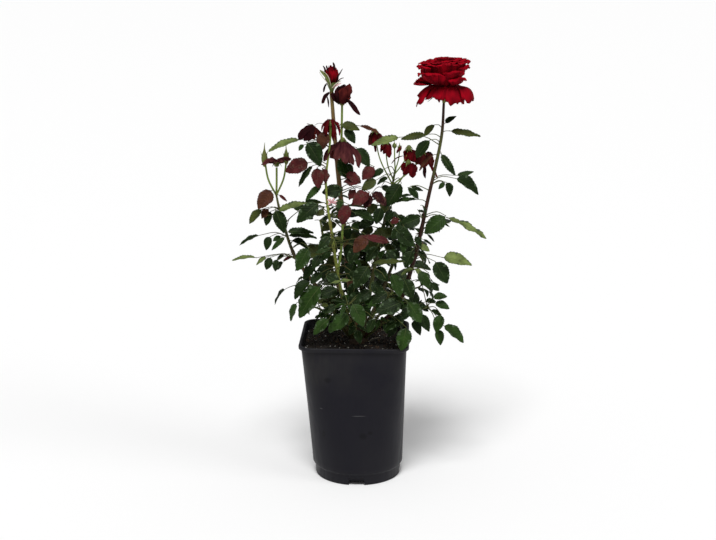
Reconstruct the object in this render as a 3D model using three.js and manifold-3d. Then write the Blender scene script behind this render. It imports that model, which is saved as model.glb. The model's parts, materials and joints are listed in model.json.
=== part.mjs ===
import * as THREE from 'three';
import { mergeVertices } from 'three/addons/utils/BufferGeometryUtils.js';
import Module from 'manifold-3d';

// A red garden rose in leaf and flower, standing in a square-topped nursery pot.
// Millimetres. X runs left to right, Y front to back, Z up; zero is the middle of the pot's underside.
// Bearings are degrees anticlockwise from +X seen from above, so the front is -90.

const wasm = await Module();
wasm.setup();

const GAP = 0.3;
const DEG = Math.PI / 180;
const PETAL_BREADTH = 0.95;
const NUDGES = [[0, 0], [8, 5], [-8, 5], [12, -7], [-12, -7], [20, 0], [-20, 0]];

// Pot: a circle at the foot that turns into a rounded square at the rim
const POT = {
  height: 255,
  lip: 95,
  lipDepth: 7,
  wallTop: 91,
  wallFoot: 80,
  cornerTop: 22,
  footRadius: 75.5,
  footHeight: 20,
  wall: 2,
  padRadius: 58,
  grooveHeight: 9,
  lean: -5,
  sides: 32,
};
const NOTCH = { width: 27, height: 8.4 };
const LEVELS = [80, 135, 188];
const DRAIN = { radius: 4, ring: 66.5, count: 6 };

// Potting mix: its level, how far it stays off the wall, and the flat patch that carries the plant
const SOIL = { level: 240, shoulder: 235, clear: 0.4, patch: 24, bumps: 2.4, bed: 11.4 };

// The swollen union the canes rise from
const UNION = { foot: 17, waist: 13.5, top: 9.5, height: 26, lean: [2, -1] };

// Leaflets: width and fold as shares of the length, thickness at the midrib
const LEAFLET = { width: 0.66, widest: 0.43, fold: 0.13, thick: 0.6, longest: 50, shortest: 20, facing: 44 };

// Each cane is one curve from the union to its tip. The bough ends at `join`; from there the same curve is
// the stem of its foliage. A leaf is [where on the curve, bearing, rise, reach, leaflets].
// `fill` adds leaves by the seeded rule between two places on the curve.
const CANES = [
  {
    name: 'right', light: -70, seed: 11, foot: 5.6, tip: 2.3, join: 0.36,
    path: [[9, -5, 254], [66, -10, 304], [97, -12, 392], [120, -11, 498], [141, -15, 602], [145, -15, 668]],
    leaves: [
      [0.86, -21, 36, 31, 1], [0.85, -2, -7, 66, 3], [0.83, -171, -9, 123, 5], [0.79, -140, -23, 54, 1],
      [0.76, -43, -46, 53, 1], [0.63, 9, -8, 86, 5], [0.60, -157, 0, 69, 3], [0.53, -3, -14, 114, 5],
      [0.52, -129, 16, 66, 3], [0.45, -19, -14, 102, 5], [0.40, -42, -8, 78, 3],
    ],
    fill: { count: 3, from: 0.415, to: 0.505, bearing: 62, rise: 22, reach: [70, 92] },
  },
  {
    name: 'left', light: -110, seed: 23, foot: 4.8, tip: 1.9, join: 0.27,
    path: [[-12, -3, 252], [-73, -13, 345], [-110, -14, 400], [-132, -15, 471], [-140, -15, 507]],
    leaves: [
      [0.77, -20, 22, 57, 1], [0.75, -157, -12, 57, 3], [0.86, -178, -12, 46, 1], [0.64, -178, -17, 85, 5],
      [0.48, -173, -1, 109, 5], [0.67, -40, -5, 74, 5], [0.45, -86, 0, 65, 3], [0.35, -97, -54, 85, 5],
    ],
    fill: { count: 3, from: 0.36, to: 0.68, bearing: 96, rise: 26, reach: [66, 96] },
  },
  {
    name: 'green', light: -100, seed: 37, foot: 4.6, tip: 1.9, join: 0.31,
    path: [[-8, -9, 256], [-29, -26, 341], [-43, -37, 439], [-53, -37, 526], [-46, -32, 600]],
    leaves: [
      [0.88, -162, -36, 66, 3], [0.93, 174, -12, 76, 1], [0.97, -140, -52, 46, 1],
      [0.84, -172, -60, 44, 1], [0.78, -142, -39, 55, 1], [0.68, -152, -33, 67, 3],
      [0.60, 62, 14, 64, 3], [0.43, -18, 7, 110, 5],
    ],
    fill: { count: 3, from: 0.36, to: 0.56, bearing: 200, rise: 12, reach: [64, 84] },
  },
  {
    name: 'bud', light: -80, seed: 41, foot: 5.2, tip: 2.5, join: 0.22,
    path: [[-5, 8, 260], [-18, 9, 380], [-35, 9, 545], [-46, 8, 681]],
    leaves: [
      [0.85, -18, -10, 88, 5], [0.79, 178, 2, 112, 5], [0.71, -28, -8, 80, 3], [0.66, -23, 7, 72, 3],
      [0.56, -72, 30, 80, 3],
    ],
    fill: { count: 5, from: 0.27, to: 0.52, bearing: 70, rise: 20, reach: [72, 100] },
  },
  {
    name: 'middle', light: -75, seed: 53, foot: 4.4, tip: 1.7, join: 0.3,
    path: [[8, 7, 258], [32, 25, 390], [51, 32, 475], [64, 34, 544]],
    leaves: [
      [0.97, -143, -16, 75, 5], [0.90, -81, -21, 88, 3], [0.76, -135, -4, 90, 5], [0.67, -30, -46, 83, 5],
      [0.56, -108, 11, 97, 5],
    ],
    fill: { count: 3, from: 0.36, to: 0.7, bearing: 20, rise: 18, reach: [70, 98] },
  },
  {
    name: 'back_left', light: 120, seed: 61, foot: 4.2, tip: 1.6, join: 0.3,
    path: [[-8, 8, 256], [-34, 44, 320], [-60, 84, 384], [-72, 106, 436]],
    leaves: [],
    fill: { count: 5, from: 0.4, to: 1, bearing: 100, rise: 22, reach: [74, 100] },
  },
  {
    name: 'back_right', light: 60, seed: 73, foot: 4.4, tip: 1.6, join: 0.3,
    path: [[9, 6, 255], [40, 42, 318], [68, 80, 386], [84, 100, 440]],
    leaves: [],
    fill: { count: 5, from: 0.4, to: 1, bearing: 30, rise: 22, reach: [74, 100] },
  },
  {
    name: 'back', light: 90, seed: 83, foot: 4, tip: 1.5, join: 0.3,
    path: [[0, 11, 257], [4, 54, 316], [2, 96, 372], [-4, 120, 410]],
    leaves: [],
    fill: { count: 5, from: 0.4, to: 1, bearing: 60, rise: 16, reach: [68, 92] },
  },
];

// Short leafy shoots that spring from the union's side and hang over the rim
const SHOOTS = [
  {
    name: 'low_front', light: -90, seed: 101, foot: 3, tip: 1.5,
    path: [[-3, -8, 250], [-7, -40, 290], [-12, -66, 318], [-14, -84, 330]],
    leaves: [[0.37, -132, -2, 92, 5], [0.55, -66, -6, 66, 5], [1, -105, -30, 62, 5]],
    fill: { count: 2, from: 0.5, to: 0.8, bearing: 10, rise: 44, reach: [62, 84] },
  },
  {
    name: 'low_front_right', light: -60, seed: 113, foot: 3.2, tip: 1.5,
    path: [[6, -8, 251], [26, -36, 296], [48, -58, 332], [62, -72, 350]],
    leaves: [[0.47, -62, -30, 88, 5], [0.69, -21, -36, 62, 3], [0.78, -104, 50, 74, 5], [1, -30, 8, 70, 5]],
    fill: { count: 2, from: 0.5, to: 0.8, bearing: 170, rise: 30, reach: [62, 84] },
  },
  {
    name: 'low_right', light: -40, seed: 127, foot: 3.2, tip: 1.5,
    path: [[11, -2, 248], [50, -14, 282], [92, -24, 304], [124, -26, 312]],
    leaves: [[0.82, -2, -39, 92, 5], [0.97, -32, -64, 66, 3], [0.95, 22, -5, 44, 1]],
    fill: { count: 2, from: 0.5, to: 0.85, bearing: 60, rise: 34, reach: [58, 80] },
  },
  {
    name: 'low_back_right', light: 30, seed: 131, foot: 3, tip: 1.4,
    path: [[9, 5, 248], [44, 30, 290], [82, 48, 318], [108, 58, 326]],
    leaves: [],
    fill: { count: 4, from: 0.4, to: 1, bearing: -30, rise: 4, reach: [62, 84] },
  },
  {
    name: 'low_back', light: 90, seed: 139, foot: 3, tip: 1.4,
    path: [[1, 10, 248], [4, 46, 290], [8, 80, 318], [12, 102, 328]],
    leaves: [],
    fill: { count: 4, from: 0.4, to: 1, bearing: 90, rise: 2, reach: [62, 86] },
  },
  {
    name: 'low_back_left', light: 150, seed: 149, foot: 3, tip: 1.4,
    path: [[-9, 6, 248], [-42, 34, 290], [-74, 56, 318], [-94, 68, 326]],
    leaves: [],
    fill: { count: 4, from: 0.4, to: 1, bearing: 150, rise: 4, reach: [60, 82] },
  },
  {
    name: 'low_left', light: 200, seed: 151, foot: 2.8, tip: 1.4,
    path: [[-12, 0, 247], [-40, -2, 280], [-66, -5, 300], [-82, -7, 306]],
    leaves: [[0.62, -152, -7, 60, 5]],
    fill: { count: 2, from: 0.65, to: 1, bearing: 120, rise: 16, reach: [52, 70] },
  },
  {
    name: 'low_front_left', light: -130, seed: 163, foot: 3, tip: 1.4,
    path: [[-8, -8, 249], [-32, -34, 294], [-58, -58, 326], [-72, -70, 336]],
    leaves: [[0.79, -148, -35, 52, 3], [0.62, -96, -24, 84, 5]],
    fill: { count: 2, from: 0.5, to: 1, bearing: -100, rise: 26, reach: [60, 82] },
  },
];

// Side twigs: [cane, place on its curve, end point, radius at the end]
const TWIGS = [
  ['left', 0.985, [-157, -24, 560], 1.1],
  ['left', 0.985, [-138, -20, 550], 1.2],
  ['left', 0.985, [-122, -13, 562], 1.1],
  ['green', 0.33, [-25, -31, 460], 2.1],
  ['bud', 0.62, [-28, 4, 672], 1.5],
  ['bud', 0.74, [-25, -13, 603], 1.3],
  ['middle', 0.9, [47, 28, 577], 1],
  ['middle', 0.985, [62, 34, 581], 1.1],
  ['middle', 0.985, [71, 37, 577], 0.9],
  ['middle', 0.95, [87, 44, 582], 0.9],
  ['middle', 0.8, [86, 19, 563], 0.9],
  ['middle', 0.86, [110, 48, 572], 0.9],
  ['middle', 0.86, [28, 21, 612], 0.9],
  ['green', 0.97, [-79, -33, 626], 0.9],
];

// Hips and tight buds at twig ends: [cane, centre, length, radius]
const HIPS = [
  ['left', [-158, -25, 572], 30, 4.6],
  ['left', [-122, -13, 573], 28, 4.4],
  ['middle', [62, 34, 586], 13, 4],
  ['middle', [71, 37, 582], 15, 3.6],
];

// Faded flowers whose petals hang: name, crown, radius, drop, petals
const FADED = [
  ['nodding_bloom', [-25, -13, 597.5], 28, 48, 6],
  ['wilted_bloom', [-27, 4, 680], 17, 24, 5],
  ['spent_bloom', [-46, -32, 606.3], 15, 10, 5],
  ['dark_bloom', [-79, -33, 620.5], 20, 38, 5],
  ['red_faded_bloom', [87, 44, 576], 12, 18, 4],
  ['red_hanging_bloom', [86, 19, 557], 14, 20, 4],
  ['maroon_bloom', [110, 48, 566], 16, 36, 5],
  ['small_maroon_bloom', [28, 21, 606], 12, 22, 4],
  ['flat_bloom', [-138, -20, 556.5], 23, 3, 5],
];

// The open bloom: a domed heart, petals cupped about it and a skirt turned down
const BLOOM = { centre: [145, -15], seat: 668, waist: 694, top: 743, cup: 45, skirt: 49, drop: 30 };

// The top bud between its sepals
const BUD = { centre: [-46, 8], seat: 681, hip: 7, length: 46, radius: 11.5 };

const COLOURS = {
  pot: 0x17181a,
  soil: 0x2c2119,
  cane: 0x5d4a2a,
  leaf: 0x2f5a2c,
  bloom: 0xa80f1a,
  faded: 0x4f1420,
};

// ---------------------------------------------------------------- solids

function solidOf(geometry) {
  const plain = geometry.clone();
  plain.deleteAttribute('normal');
  plain.deleteAttribute('uv');
  const joined = mergeVertices(plain, 1e-4);
  const faces = {
    numProp: 3,
    vertProperties: Float32Array.from(joined.attributes.position.array),
    triVerts: Uint32Array.from(joined.index.array),
  };
  const solid = new wasm.Manifold(new wasm.Mesh(faces));
  if (solid.volume() > 0) {
    return solid;
  }
  for (let i = 0; i < faces.triVerts.length; i += 3) {
    faces.triVerts.subarray(i, i + 3).reverse();
  }
  return new wasm.Manifold(new wasm.Mesh(faces));
}

function meshOf(name, solid, colour, roughness) {
  const faces = solid.getMesh();
  const geometry = new THREE.BufferGeometry();
  geometry.setAttribute('position', new THREE.BufferAttribute(Float32Array.from(faces.vertProperties), 3));
  geometry.setIndex(Array.from(faces.triVerts));
  geometry.computeVertexNormals();
  const material = new THREE.MeshStandardMaterial({ color: colour, roughness, metalness: 0 });
  const mesh = new THREE.Mesh(geometry, material);
  mesh.name = name;
  return mesh;
}

function reshape(geometry, place) {
  const position = geometry.attributes.position;
  const point = new THREE.Vector3();
  for (let i = 0; i < position.count; i += 1) {
    point.fromBufferAttribute(position, i);
    const moved = place(point);
    position.setXYZ(i, moved.x, moved.y, moved.z);
  }
  return geometry;
}

function fuse(solids) {
  return solids.length === 1 ? solids[0] : wasm.Manifold.union(solids);
}

// The outer skin of the largest piece, with no loose bits and no closed hollows
function largest(solid) {
  const pieces = solid.decompose();
  return pieces.sort((a, b) => b.volume() - a.volume())[0];
}

// One number after another from a whole-number seed, each from 0 to 1
function dice(seed) {
  let state = (Math.imul(seed, 2654435761) + 12345) >>> 0;
  return () => {
    state = (Math.imul(state, 1664525) + 1013904223) >>> 0;
    return state / 4294967296;
  };
}

// ---------------------------------------------------------------- pot and soil

function squareness(angle, half, corner) {
  const c = Math.abs(Math.cos(angle));
  const s = Math.abs(Math.sin(angle));
  const near = Math.max(c, s);
  const far = Math.min(c, s);
  const inner = half - corner;
  if (half * (far / near) <= inner) {
    return half / near;
  }
  const along = inner * (near + far);
  return along + Math.sqrt(corner * corner - 2 * inner * inner + along * along);
}

function potShape(point) {
  const { wallFoot, wallTop, cornerTop, footHeight, height, lean } = POT;
  const up = THREE.MathUtils.clamp((point.z - footHeight) / (height - footHeight), 0, 1);
  const half = wallFoot + (wallTop - wallFoot) * up;
  const corner = half + (cornerTop - half) * up ** 1.15;
  let angle = Math.atan2(point.y, point.x);
  angle += 0.11 * Math.sin(4 * angle);
  const stretch = squareness(angle, half, corner) / half;
  const radius = Math.hypot(point.x, point.y) * stretch;
  const shift = (lean * point.z) / height;
  return new THREE.Vector3(radius * Math.cos(angle) + shift, radius * Math.sin(angle), point.z);
}

function turned(profile, sides) {
  const lathe = new THREE.LatheGeometry(profile.map(([r, z]) => new THREE.Vector2(r, z)), sides);
  lathe.rotateX(Math.PI / 2);
  return lathe;
}

function wallAt(z) {
  const { wallFoot, wallTop, footHeight, height } = POT;
  const up = THREE.MathUtils.clamp((z - footHeight) / (height - footHeight), 0, 1);
  return wallFoot + (wallTop - wallFoot) * up;
}

// The pot is its outer form less its hollow, both turned from the foot up, so that their facets lie alongside
function buildPot() {
  const { height, lip, lipDepth, footRadius, footHeight, wall, padRadius, grooveHeight, sides } = POT;
  const under = height - lipDepth;
  const skirt = footRadius - 4.5;
  const outer = [
    [0, 0], [padRadius, 0], [padRadius + 1.5, grooveHeight], [skirt, grooveHeight], [skirt + 0.5, 0],
    [footRadius, 0], [footRadius + 0.4, footHeight - 2], [wallAt(footHeight), footHeight + 2],
    ...LEVELS.map((z) => [wallAt(z), z]), [wallAt(SOIL.shoulder), SOIL.shoulder], [wallAt(under) - 0.6, under],
    [lip, under + 1.2], [lip, height - 1], [lip - 1.2, height], [0, height],
  ];
  const hollow = [
    [0, wall], [padRadius - 2.5, wall], [padRadius - 1, grooveHeight + wall], [skirt, grooveHeight + wall],
    [wallAt(footHeight) - wall, footHeight + 4], ...LEVELS.map((z) => [wallAt(z) - wall, z]),
    [wallAt(SOIL.shoulder) - wall, SOIL.shoulder], [lip - 4.6, height], [lip - 4.5, height + 1],
    [0, height + 1],
  ];
  const inside = solidOf(reshape(turned(hollow, sides), potShape));
  let pot = solidOf(reshape(turned(outer, sides), potShape)).subtract(inside);
  const notch = new THREE.BoxGeometry(14, NOTCH.width, NOTCH.height + 1);
  notch.translate(footRadius - 1, 0, NOTCH.height / 2 - 0.5);
  for (let quarter = 0; quarter < 4; quarter += 1) {
    pot = pot.subtract(solidOf(notch.clone().rotateZ((quarter * Math.PI) / 2)));
  }
  const drain = new THREE.CylinderGeometry(DRAIN.radius, DRAIN.radius, 12, 8);
  drain.rotateX(Math.PI / 2);
  drain.translate(DRAIN.ring - 2, 0, grooveHeight);
  for (let i = 0; i < DRAIN.count; i += 1) {
    const turn = ((i + 0.5) / DRAIN.count) * 2 * Math.PI;
    pot = pot.subtract(solidOf(drain.clone().rotateZ(turn)));
  }
  return pot;
}

function buildSoil() {
  const { wall, padRadius, footHeight, grooveHeight } = POT;
  const { level, shoulder, clear, patch, bumps, bed } = SOIL;
  const inset = wall + clear;
  const profile = [
    [0, wall + clear], [padRadius - 3, wall + clear], [padRadius - 1.3, bed], [71, bed],
    [wallAt(footHeight) - inset, footHeight + 4], ...LEVELS.map((z) => [wallAt(z) - inset, z]),
    [wallAt(shoulder) - inset, shoulder], [70, level - 0.5], [46, level + 0.5], [patch, level], [0, level],
  ];
  const roll = dice(7);
  const rises = new Map();
  const place = (point) => {
    const moved = potShape(point);
    const reach = Math.hypot(point.x, point.y);
    if (point.z > level - 2 && reach > patch + 1) {
      const key = `${Math.round(point.x * 1000)} ${Math.round(point.y * 1000)}`;
      if (!rises.has(key)) {
        rises.set(key, (roll() - 0.5) * 2 * bumps);
      }
      moved.z += rises.get(key);
    }
    return moved;
  };
  return solidOf(reshape(turned(profile, POT.sides), place));
}

function buildUnion() {
  const { foot, waist, top, height, lean } = UNION;
  const base = SOIL.level + GAP;
  const profile = [
    [0, 0], [foot, 0], [foot - 1.6, 4], [waist, 10], [waist + 0.6, 16], [top + 2, height - 3],
    [top - 3, height], [0, height],
  ];
  const knuckles = (point) => {
    const up = point.z / height;
    const angle = Math.atan2(point.y, point.x);
    const swell = 1 + 0.07 * Math.sin(3 * angle + 1) * (1 - up) + 0.06 * Math.cos(5 * angle) * up;
    return new THREE.Vector3(point.x * swell + lean[0] * up, point.y * swell + lean[1] * up, point.z + base);
  };
  return solidOf(reshape(turned(profile, 10), knuckles));
}

// ---------------------------------------------------------------- canes and twigs

function curveOf(path) {
  const points = path.map(([x, y, z]) => new THREE.Vector3(x, y, z));
  return new THREE.CatmullRomCurve3(points, false, 'catmullrom', 0.5);
}

// A closed limb along part of a curve, tapering, with a given number of sides and lengths
function limb(curve, from, to, radiusAt, sides, lengths) {
  const rod = new THREE.CylinderGeometry(1, 1, 1, sides, lengths);
  return reshape(rod, (point) => {
    const place = from + (to - from) * (point.y + 0.5);
    const along = curve.getTangent(place);
    const side = new THREE.Vector3(-along.y, along.x, 0);
    if (side.lengthSq() < 1e-4) {
      side.set(1, 0, 0);
    }
    side.normalize();
    const up = new THREE.Vector3().crossVectors(side, along);
    const radius = radiusAt(place);
    return curve.getPoint(place).addScaledVector(side, point.x * radius).addScaledVector(up, point.z * radius);
  });
}

function caneRadius(cane) {
  return (place) => cane.foot + (cane.tip - cane.foot) * place ** 0.8;
}

function twigCurve(cane, place, end) {
  const start = curveOf(cane.path).getPoint(place);
  const tip = new THREE.Vector3(...end);
  const bend = start.clone().lerp(tip, 0.5);
  const outward = new THREE.Vector3(tip.x - start.x, tip.y - start.y, 0).multiplyScalar(0.22);
  bend.add(outward);
  return new THREE.CatmullRomCurve3([start, bend, tip], false, 'catmullrom', 0.5);
}

// A spindle with a waist-less body along a direction: a hip or a tight bud
function spindle(centre, length, radius) {
  const profile = [[0, -0.5], [1, -0.18], [0.45, 0.24], [0, 0.5]];
  const body = turned(profile.map(([r, z]) => [r * radius, z * length]), 5);
  return solidOf(body.translate(...centre));
}

// ---------------------------------------------------------------- leaves

// A point on a leaf stalk that arches in its own upright plane, with its directions there
function stalkFrame(leaf, share) {
  const turn = leaf.droop * DEG;
  const first = (leaf.rise + leaf.droop / 2) * DEG;
  const angle = first - turn * share;
  const scale = leaf.stalk / turn;
  const out = scale * (Math.sin(first) - Math.sin(angle));
  const lift = scale * (Math.cos(angle) - Math.cos(first));
  const heading = new THREE.Vector3(Math.cos(leaf.bearing * DEG), Math.sin(leaf.bearing * DEG), 0);
  const point = leaf.root.clone().addScaledVector(heading, out);
  point.z += lift;
  const along = heading.clone().multiplyScalar(Math.cos(angle));
  along.z = Math.sin(angle);
  const flat = new THREE.Vector3(-heading.y, heading.x, 0);
  const above = new THREE.Vector3().crossVectors(along, flat);
  const roll = leaf.roll * DEG;
  const side = flat.clone().multiplyScalar(Math.cos(roll)).addScaledVector(above, Math.sin(roll));
  const up = above.multiplyScalar(Math.cos(roll)).addScaledVector(flat, -Math.sin(roll));
  return { point, along, side, up };
}

// A closed slab over a flat-topped net: points round its edge in order, each with its own thickness
function slabSolid(edge, triangles) {
  const count = edge.length;
  const position = [];
  for (const half of [0.5, -0.5]) {
    for (const { point, up, thick } of edge) {
      position.push(...point.clone().addScaledVector(up, half * thick));
    }
  }
  const index = [];
  for (const [a, b, c] of triangles) {
    index.push(a, b, c, c + count, b + count, a + count);
  }
  for (let i = 0; i < count; i += 1) {
    const next = (i + 1) % count;
    index.push(i, i + count, next, next, i + count, next + count);
  }
  const geometry = new THREE.BufferGeometry();
  geometry.setAttribute('position', new THREE.Float32BufferAttribute(position, 3));
  geometry.setIndex(index);
  return solidOf(geometry);
}

// The edge of one leaflet from its near side to its far side: shoulder, tip, shoulder
function bladeEdge({ base, axis, up, length, broad = 1 }) {
  const { width, widest, fold, thick } = LEAFLET;
  const across = new THREE.Vector3().crossVectors(up, axis);
  const half = (width * broad * length) / 2;
  const corner = (forward, sideways, lift) => ({
    point: base.clone().addScaledVector(axis, forward * length).addScaledVector(across, sideways * half)
      .addScaledVector(up, lift),
    up,
    thick,
  });
  const raised = fold * half * 2;
  return [corner(widest, 1, raised), corner(1, 0, -0.08 * length), corner(widest, -1, raised)];
}

function rootPair(leaf, share, hand, length) {
  const near = stalkFrame(leaf, share - 1.3 / leaf.stalk);
  const far = stalkFrame(leaf, share + 1.3 / leaf.stalk);
  const side = (at) => ({
    point: at.point.clone().addScaledVector(at.side, hand * (1 - 0.25 * share)), up: at.up, thick: 1.3,
  });
  return length ? [side(near), side(far)] : [side(near)];
}

const FAN = [[0, 1, 2], [0, 2, 3], [0, 3, 4]];

// One leaflet alone, as a slab, to test where it can grow
function leafletSolid(leaf, leaflet) {
  return slabSolid(leafletLoop(leaf, leaflet), FAN);
}

// Root, shoulder, tip, shoulder, root of one leaflet, in order round its edge
function leafletLoop(leaf, leaflet) {
  const blade = bladeEdge(leaflet);
  if (leaflet.hand === 0) {
    const end = stalkFrame(leaf, 1);
    const root = (hand) => ({
      point: end.point.clone().addScaledVector(end.side, hand * 0.75), up: end.up, thick: 1.3,
    });
    return [root(1), ...blade, root(-1)];
  }
  const [near, far] = rootPair(leaf, leaflet.share, leaflet.hand, 1);
  return leaflet.hand > 0 ? [near, ...blade, far] : [far, ...blade, near];
}

// A bare stalk, for leaves' room tests
function stalkSolid(leaf) {
  return leafSolid(leaf, []);
}

// A whole leaf as one slab: the stalk's strip with its leaflets let into the strip's edges
function leafSolid(leaf, leaflets) {
  const edge = [];
  const triangles = [];
  const add = (corner) => edge.push(corner) - 1;
  const strip = (share, hand) => {
    const at = stalkFrame(leaf, share);
    const half = 1.1 - 0.3 * share;
    return { point: at.point.clone().addScaledVector(at.side, hand * half), up: at.up, thick: 1.5 - 0.2 * share };
  };
  const shares = [...new Set(leaflets.filter(({ hand }) => hand !== 0).map(({ share }) => share))];
  const left = [add(strip(0, 1))];
  const grow = (hand, share, rail) => {
    const found = leaflets.find((one) => one.hand === hand && one.share === share);
    const loop = found ? leafletLoop(leaf, found) : rootPair(leaf, share, hand, 1);
    const ordered = !found && hand < 0 ? loop.reverse() : loop;
    const first = add(ordered[0]);
    rail.push(first);
    ordered.slice(1).forEach(add);
    if (found) {
      FAN.forEach((face) => triangles.push(face.map((i) => i + first)));
    }
    rail.push(first + ordered.length - 1);
  };
  if (!shares.length) {
    left.push(add(strip(0.5, 1)));
  }
  shares.forEach((share) => grow(1, share, left));
  const end = leaflets.find(({ hand }) => hand === 0);
  const right = [];
  if (end) {
    const loop = leafletLoop(leaf, end);
    const first = add(loop[0]);
    loop.slice(1).forEach(add);
    FAN.forEach((face) => triangles.push(face.map((i) => i + first)));
    left.push(first);
    right.push(first + 4);
  } else {
    left.push(add(strip(1, 1)));
    right.push(add(strip(1, -1)));
  }
  [...shares].reverse().forEach((share) => grow(-1, share, right));
  if (!shares.length) {
    right.push(add(strip(0.5, -1)));
  }
  right.push(add(strip(0, -1)));
  right.reverse();
  for (let i = 0; i + 1 < left.length; i += 1) {
    triangles.push([left[i], left[i + 1], right[i]], [left[i + 1], right[i + 1], right[i]]);
  }
  return slabSolid(edge, triangles);
}

// The leaflets of one leaf: pairs along the stalk, then one at its tip
function leafletsOf(leaf, roll) {
  const found = [];
  const pairs = (leaf.leaflets - 1) / 2;
  for (let pair = 0; pair < pairs; pair += 1) {
    const share = pairs === 1 ? 0.6 : 0.36 + (0.38 * pair) / (pairs - 1);
    const size = leaf.blade * (pairs === 1 ? 0.86 : 0.72 + 0.14 * pair) * (0.96 + 0.08 * roll());
    for (const hand of [1, -1]) {
      const at = stalkFrame(leaf, share);
      const spread = (68 - 9 * pair + 8 * (roll() - 0.5)) * DEG;
      const dip = (10 + 20 * roll()) * DEG;
      const flat = at.along.clone().multiplyScalar(Math.cos(spread))
        .addScaledVector(at.side, hand * Math.sin(spread));
      const axis = flat.clone().multiplyScalar(Math.cos(dip)).addScaledVector(at.up, -Math.sin(dip));
      const up = at.up.clone().multiplyScalar(Math.cos(dip)).addScaledVector(flat, Math.sin(dip));
      found.push({ base: at.point, axis, up, length: size, hand, share });
    }
  }
  const end = stalkFrame(leaf, 1);
  const dip = (4 + 14 * roll()) * DEG;
  const axis = end.along.clone().multiplyScalar(Math.cos(dip)).addScaledVector(end.up, -Math.sin(dip));
  const up = end.up.clone().multiplyScalar(Math.cos(dip)).addScaledVector(end.along, Math.sin(dip));
  found.push({ base: end.point, axis, up, length: leaf.blade, hand: 0, share: 1 });
  return found;
}

// A leaf arches a little, and turns its face towards the light on its side of the plant
function leafOf(plant, curve, [place, bearing, rise, reach, leaflets], roll) {
  const { longest, shortest, facing } = LEAFLET;
  const share = leaflets === 1 ? 0.76 : 0.46;
  const blade = THREE.MathUtils.clamp(share * reach, shortest, longest);
  const away = (bearing - plant.light) * DEG;
  const droop = 14 + 18 * roll() + 26 * Math.max(Math.cos(away), 0);
  return {
    root: curve.getPoint(place), bearing, rise, leaflets, blade, droop,
    roll: facing * Math.sin(away) + 30 * (roll() - 0.5), stalk: Math.max(reach - blade + 2, 6),
  };
}

// Every leaf of a mass as a row with its own seed: the stated ones, then the ones the rule adds, turning two
// fifths of a circle each time
function leafRows(plant) {
  const rows = plant.leaves.map((row, i) => ({ row, seed: plant.seed * 100 + i }));
  const { count, from, to, bearing, rise, reach } = plant.fill;
  for (let i = 0; i < count; i += 1) {
    const seed = plant.seed * 100 + 50 + i;
    const roll = dice(seed + 7000);
    const place = from + ((to - from) * i) / Math.max(count - 1, 1);
    const turn = bearing + 144 * i + 40 * (roll() - 0.5);
    const lift = rise + 30 * (roll() - 0.5);
    const length = reach[0] + (reach[1] - reach[0]) * roll();
    rows.push({ row: [Math.min(place, 1), turn, lift, length, roll() < 0.4 ? 3 : 5], seed });
  }
  return rows;
}

function growLeaf(plant, { row, seed }) {
  const roll = dice(seed);
  const leaf = leafOf(plant, curveOf(plant.path), row, roll);
  return { leaf, parts: leafletsOf(leaf, roll) };
}

// ---------------------------------------------------------------- petals

// A petal: a slab wrapped about an upright axis, its middle line given as radius and height
function petalSolid({ centre, turn, spread, line, ruffle, thick, seed, across }) {
  const middle = new THREE.CatmullRomCurve3(line.map(([r, z]) => new THREE.Vector3(r, 0, z)));
  const slab = new THREE.BoxGeometry(2, 1, 1, across, 2, 1);
  return solidOf(reshape(slab, (point) => {
    const share = point.y + 0.5;
    const at = middle.getPoint(share);
    const along = middle.getTangent(share);
    const width = 0.42 + 0.58 * Math.sin(Math.min(share * 1.9, 1.9));
    const angle = turn + point.x * spread * width;
    const wave = ruffle * share * share * Math.cos(4.2 * point.x + seed);
    const radius = at.x - along.z * point.z * thick - 0.08 * at.x * point.x ** 2;
    const height = at.z + along.x * point.z * thick + wave - 0.1 * Math.abs(at.x) * share * point.x ** 2;
    return new THREE.Vector3(
      centre[0] + radius * Math.cos(angle), centre[1] + radius * Math.sin(angle), centre[2] + height,
    );
  }));
}

function ring(centre, count, start, spread, line, ruffle, across = 2) {
  return Array.from({ length: count }, (_, i) => petalSolid({
    centre, turn: start + (i / count) * 2 * Math.PI, spread, line, ruffle, thick: 1, seed: i * 2.3, across,
  }));
}

function buildBloom() {
  const { centre, seat, waist, top, cup, skirt, drop } = BLOOM;
  const rise = top - waist;
  const place = [centre[0], centre[1], waist];
  const heart = turned([
    [0, seat - waist + GAP], [5, seat - waist + GAP], [9, -9], [14, 0], [26, 10], [36, 24], [36, rise - 12],
    [26, rise - 1], [0, rise - 3],
  ], 10);
  const core = solidOf(heart.translate(...place));
  const outer = ring(place, 6, 0.9, 0.5, [[10, 0], [31, 8], [43, 22], [cup - 3, rise - 10]], 3);
  const low = ring(place, 1, Math.PI * 1.03, 0.34, [[10, 1], [30, 2], [43, 0], [50, 6]], 2);
  const down = ring(place, 5, 0.2, 0.58, [[7, -4], [24, -1], [40, -8], [skirt, -drop + 4]], 4);
  return largest(fuse([core, ...outer, ...low, ...down]));
}

function buildBud() {
  const { centre, seat, hip, length, radius } = BUD;
  const body = turned([
    [0, 0], [3.4, 0], [hip, 6], [5.6, 12], [radius, 26], [radius - 1.6, 38], [5, length - 1], [0, length],
  ], 7);
  const place = [centre[0], centre[1], seat + GAP];
  const core = solidOf(body.translate(...place));
  const sepals = ring(place, 5, 0.5, 0.2, [[5, 11], [10.5, 20], [15, 34], [19, 43]], 0, 1);
  return largest(fuse([core, ...sepals]));
}

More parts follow.
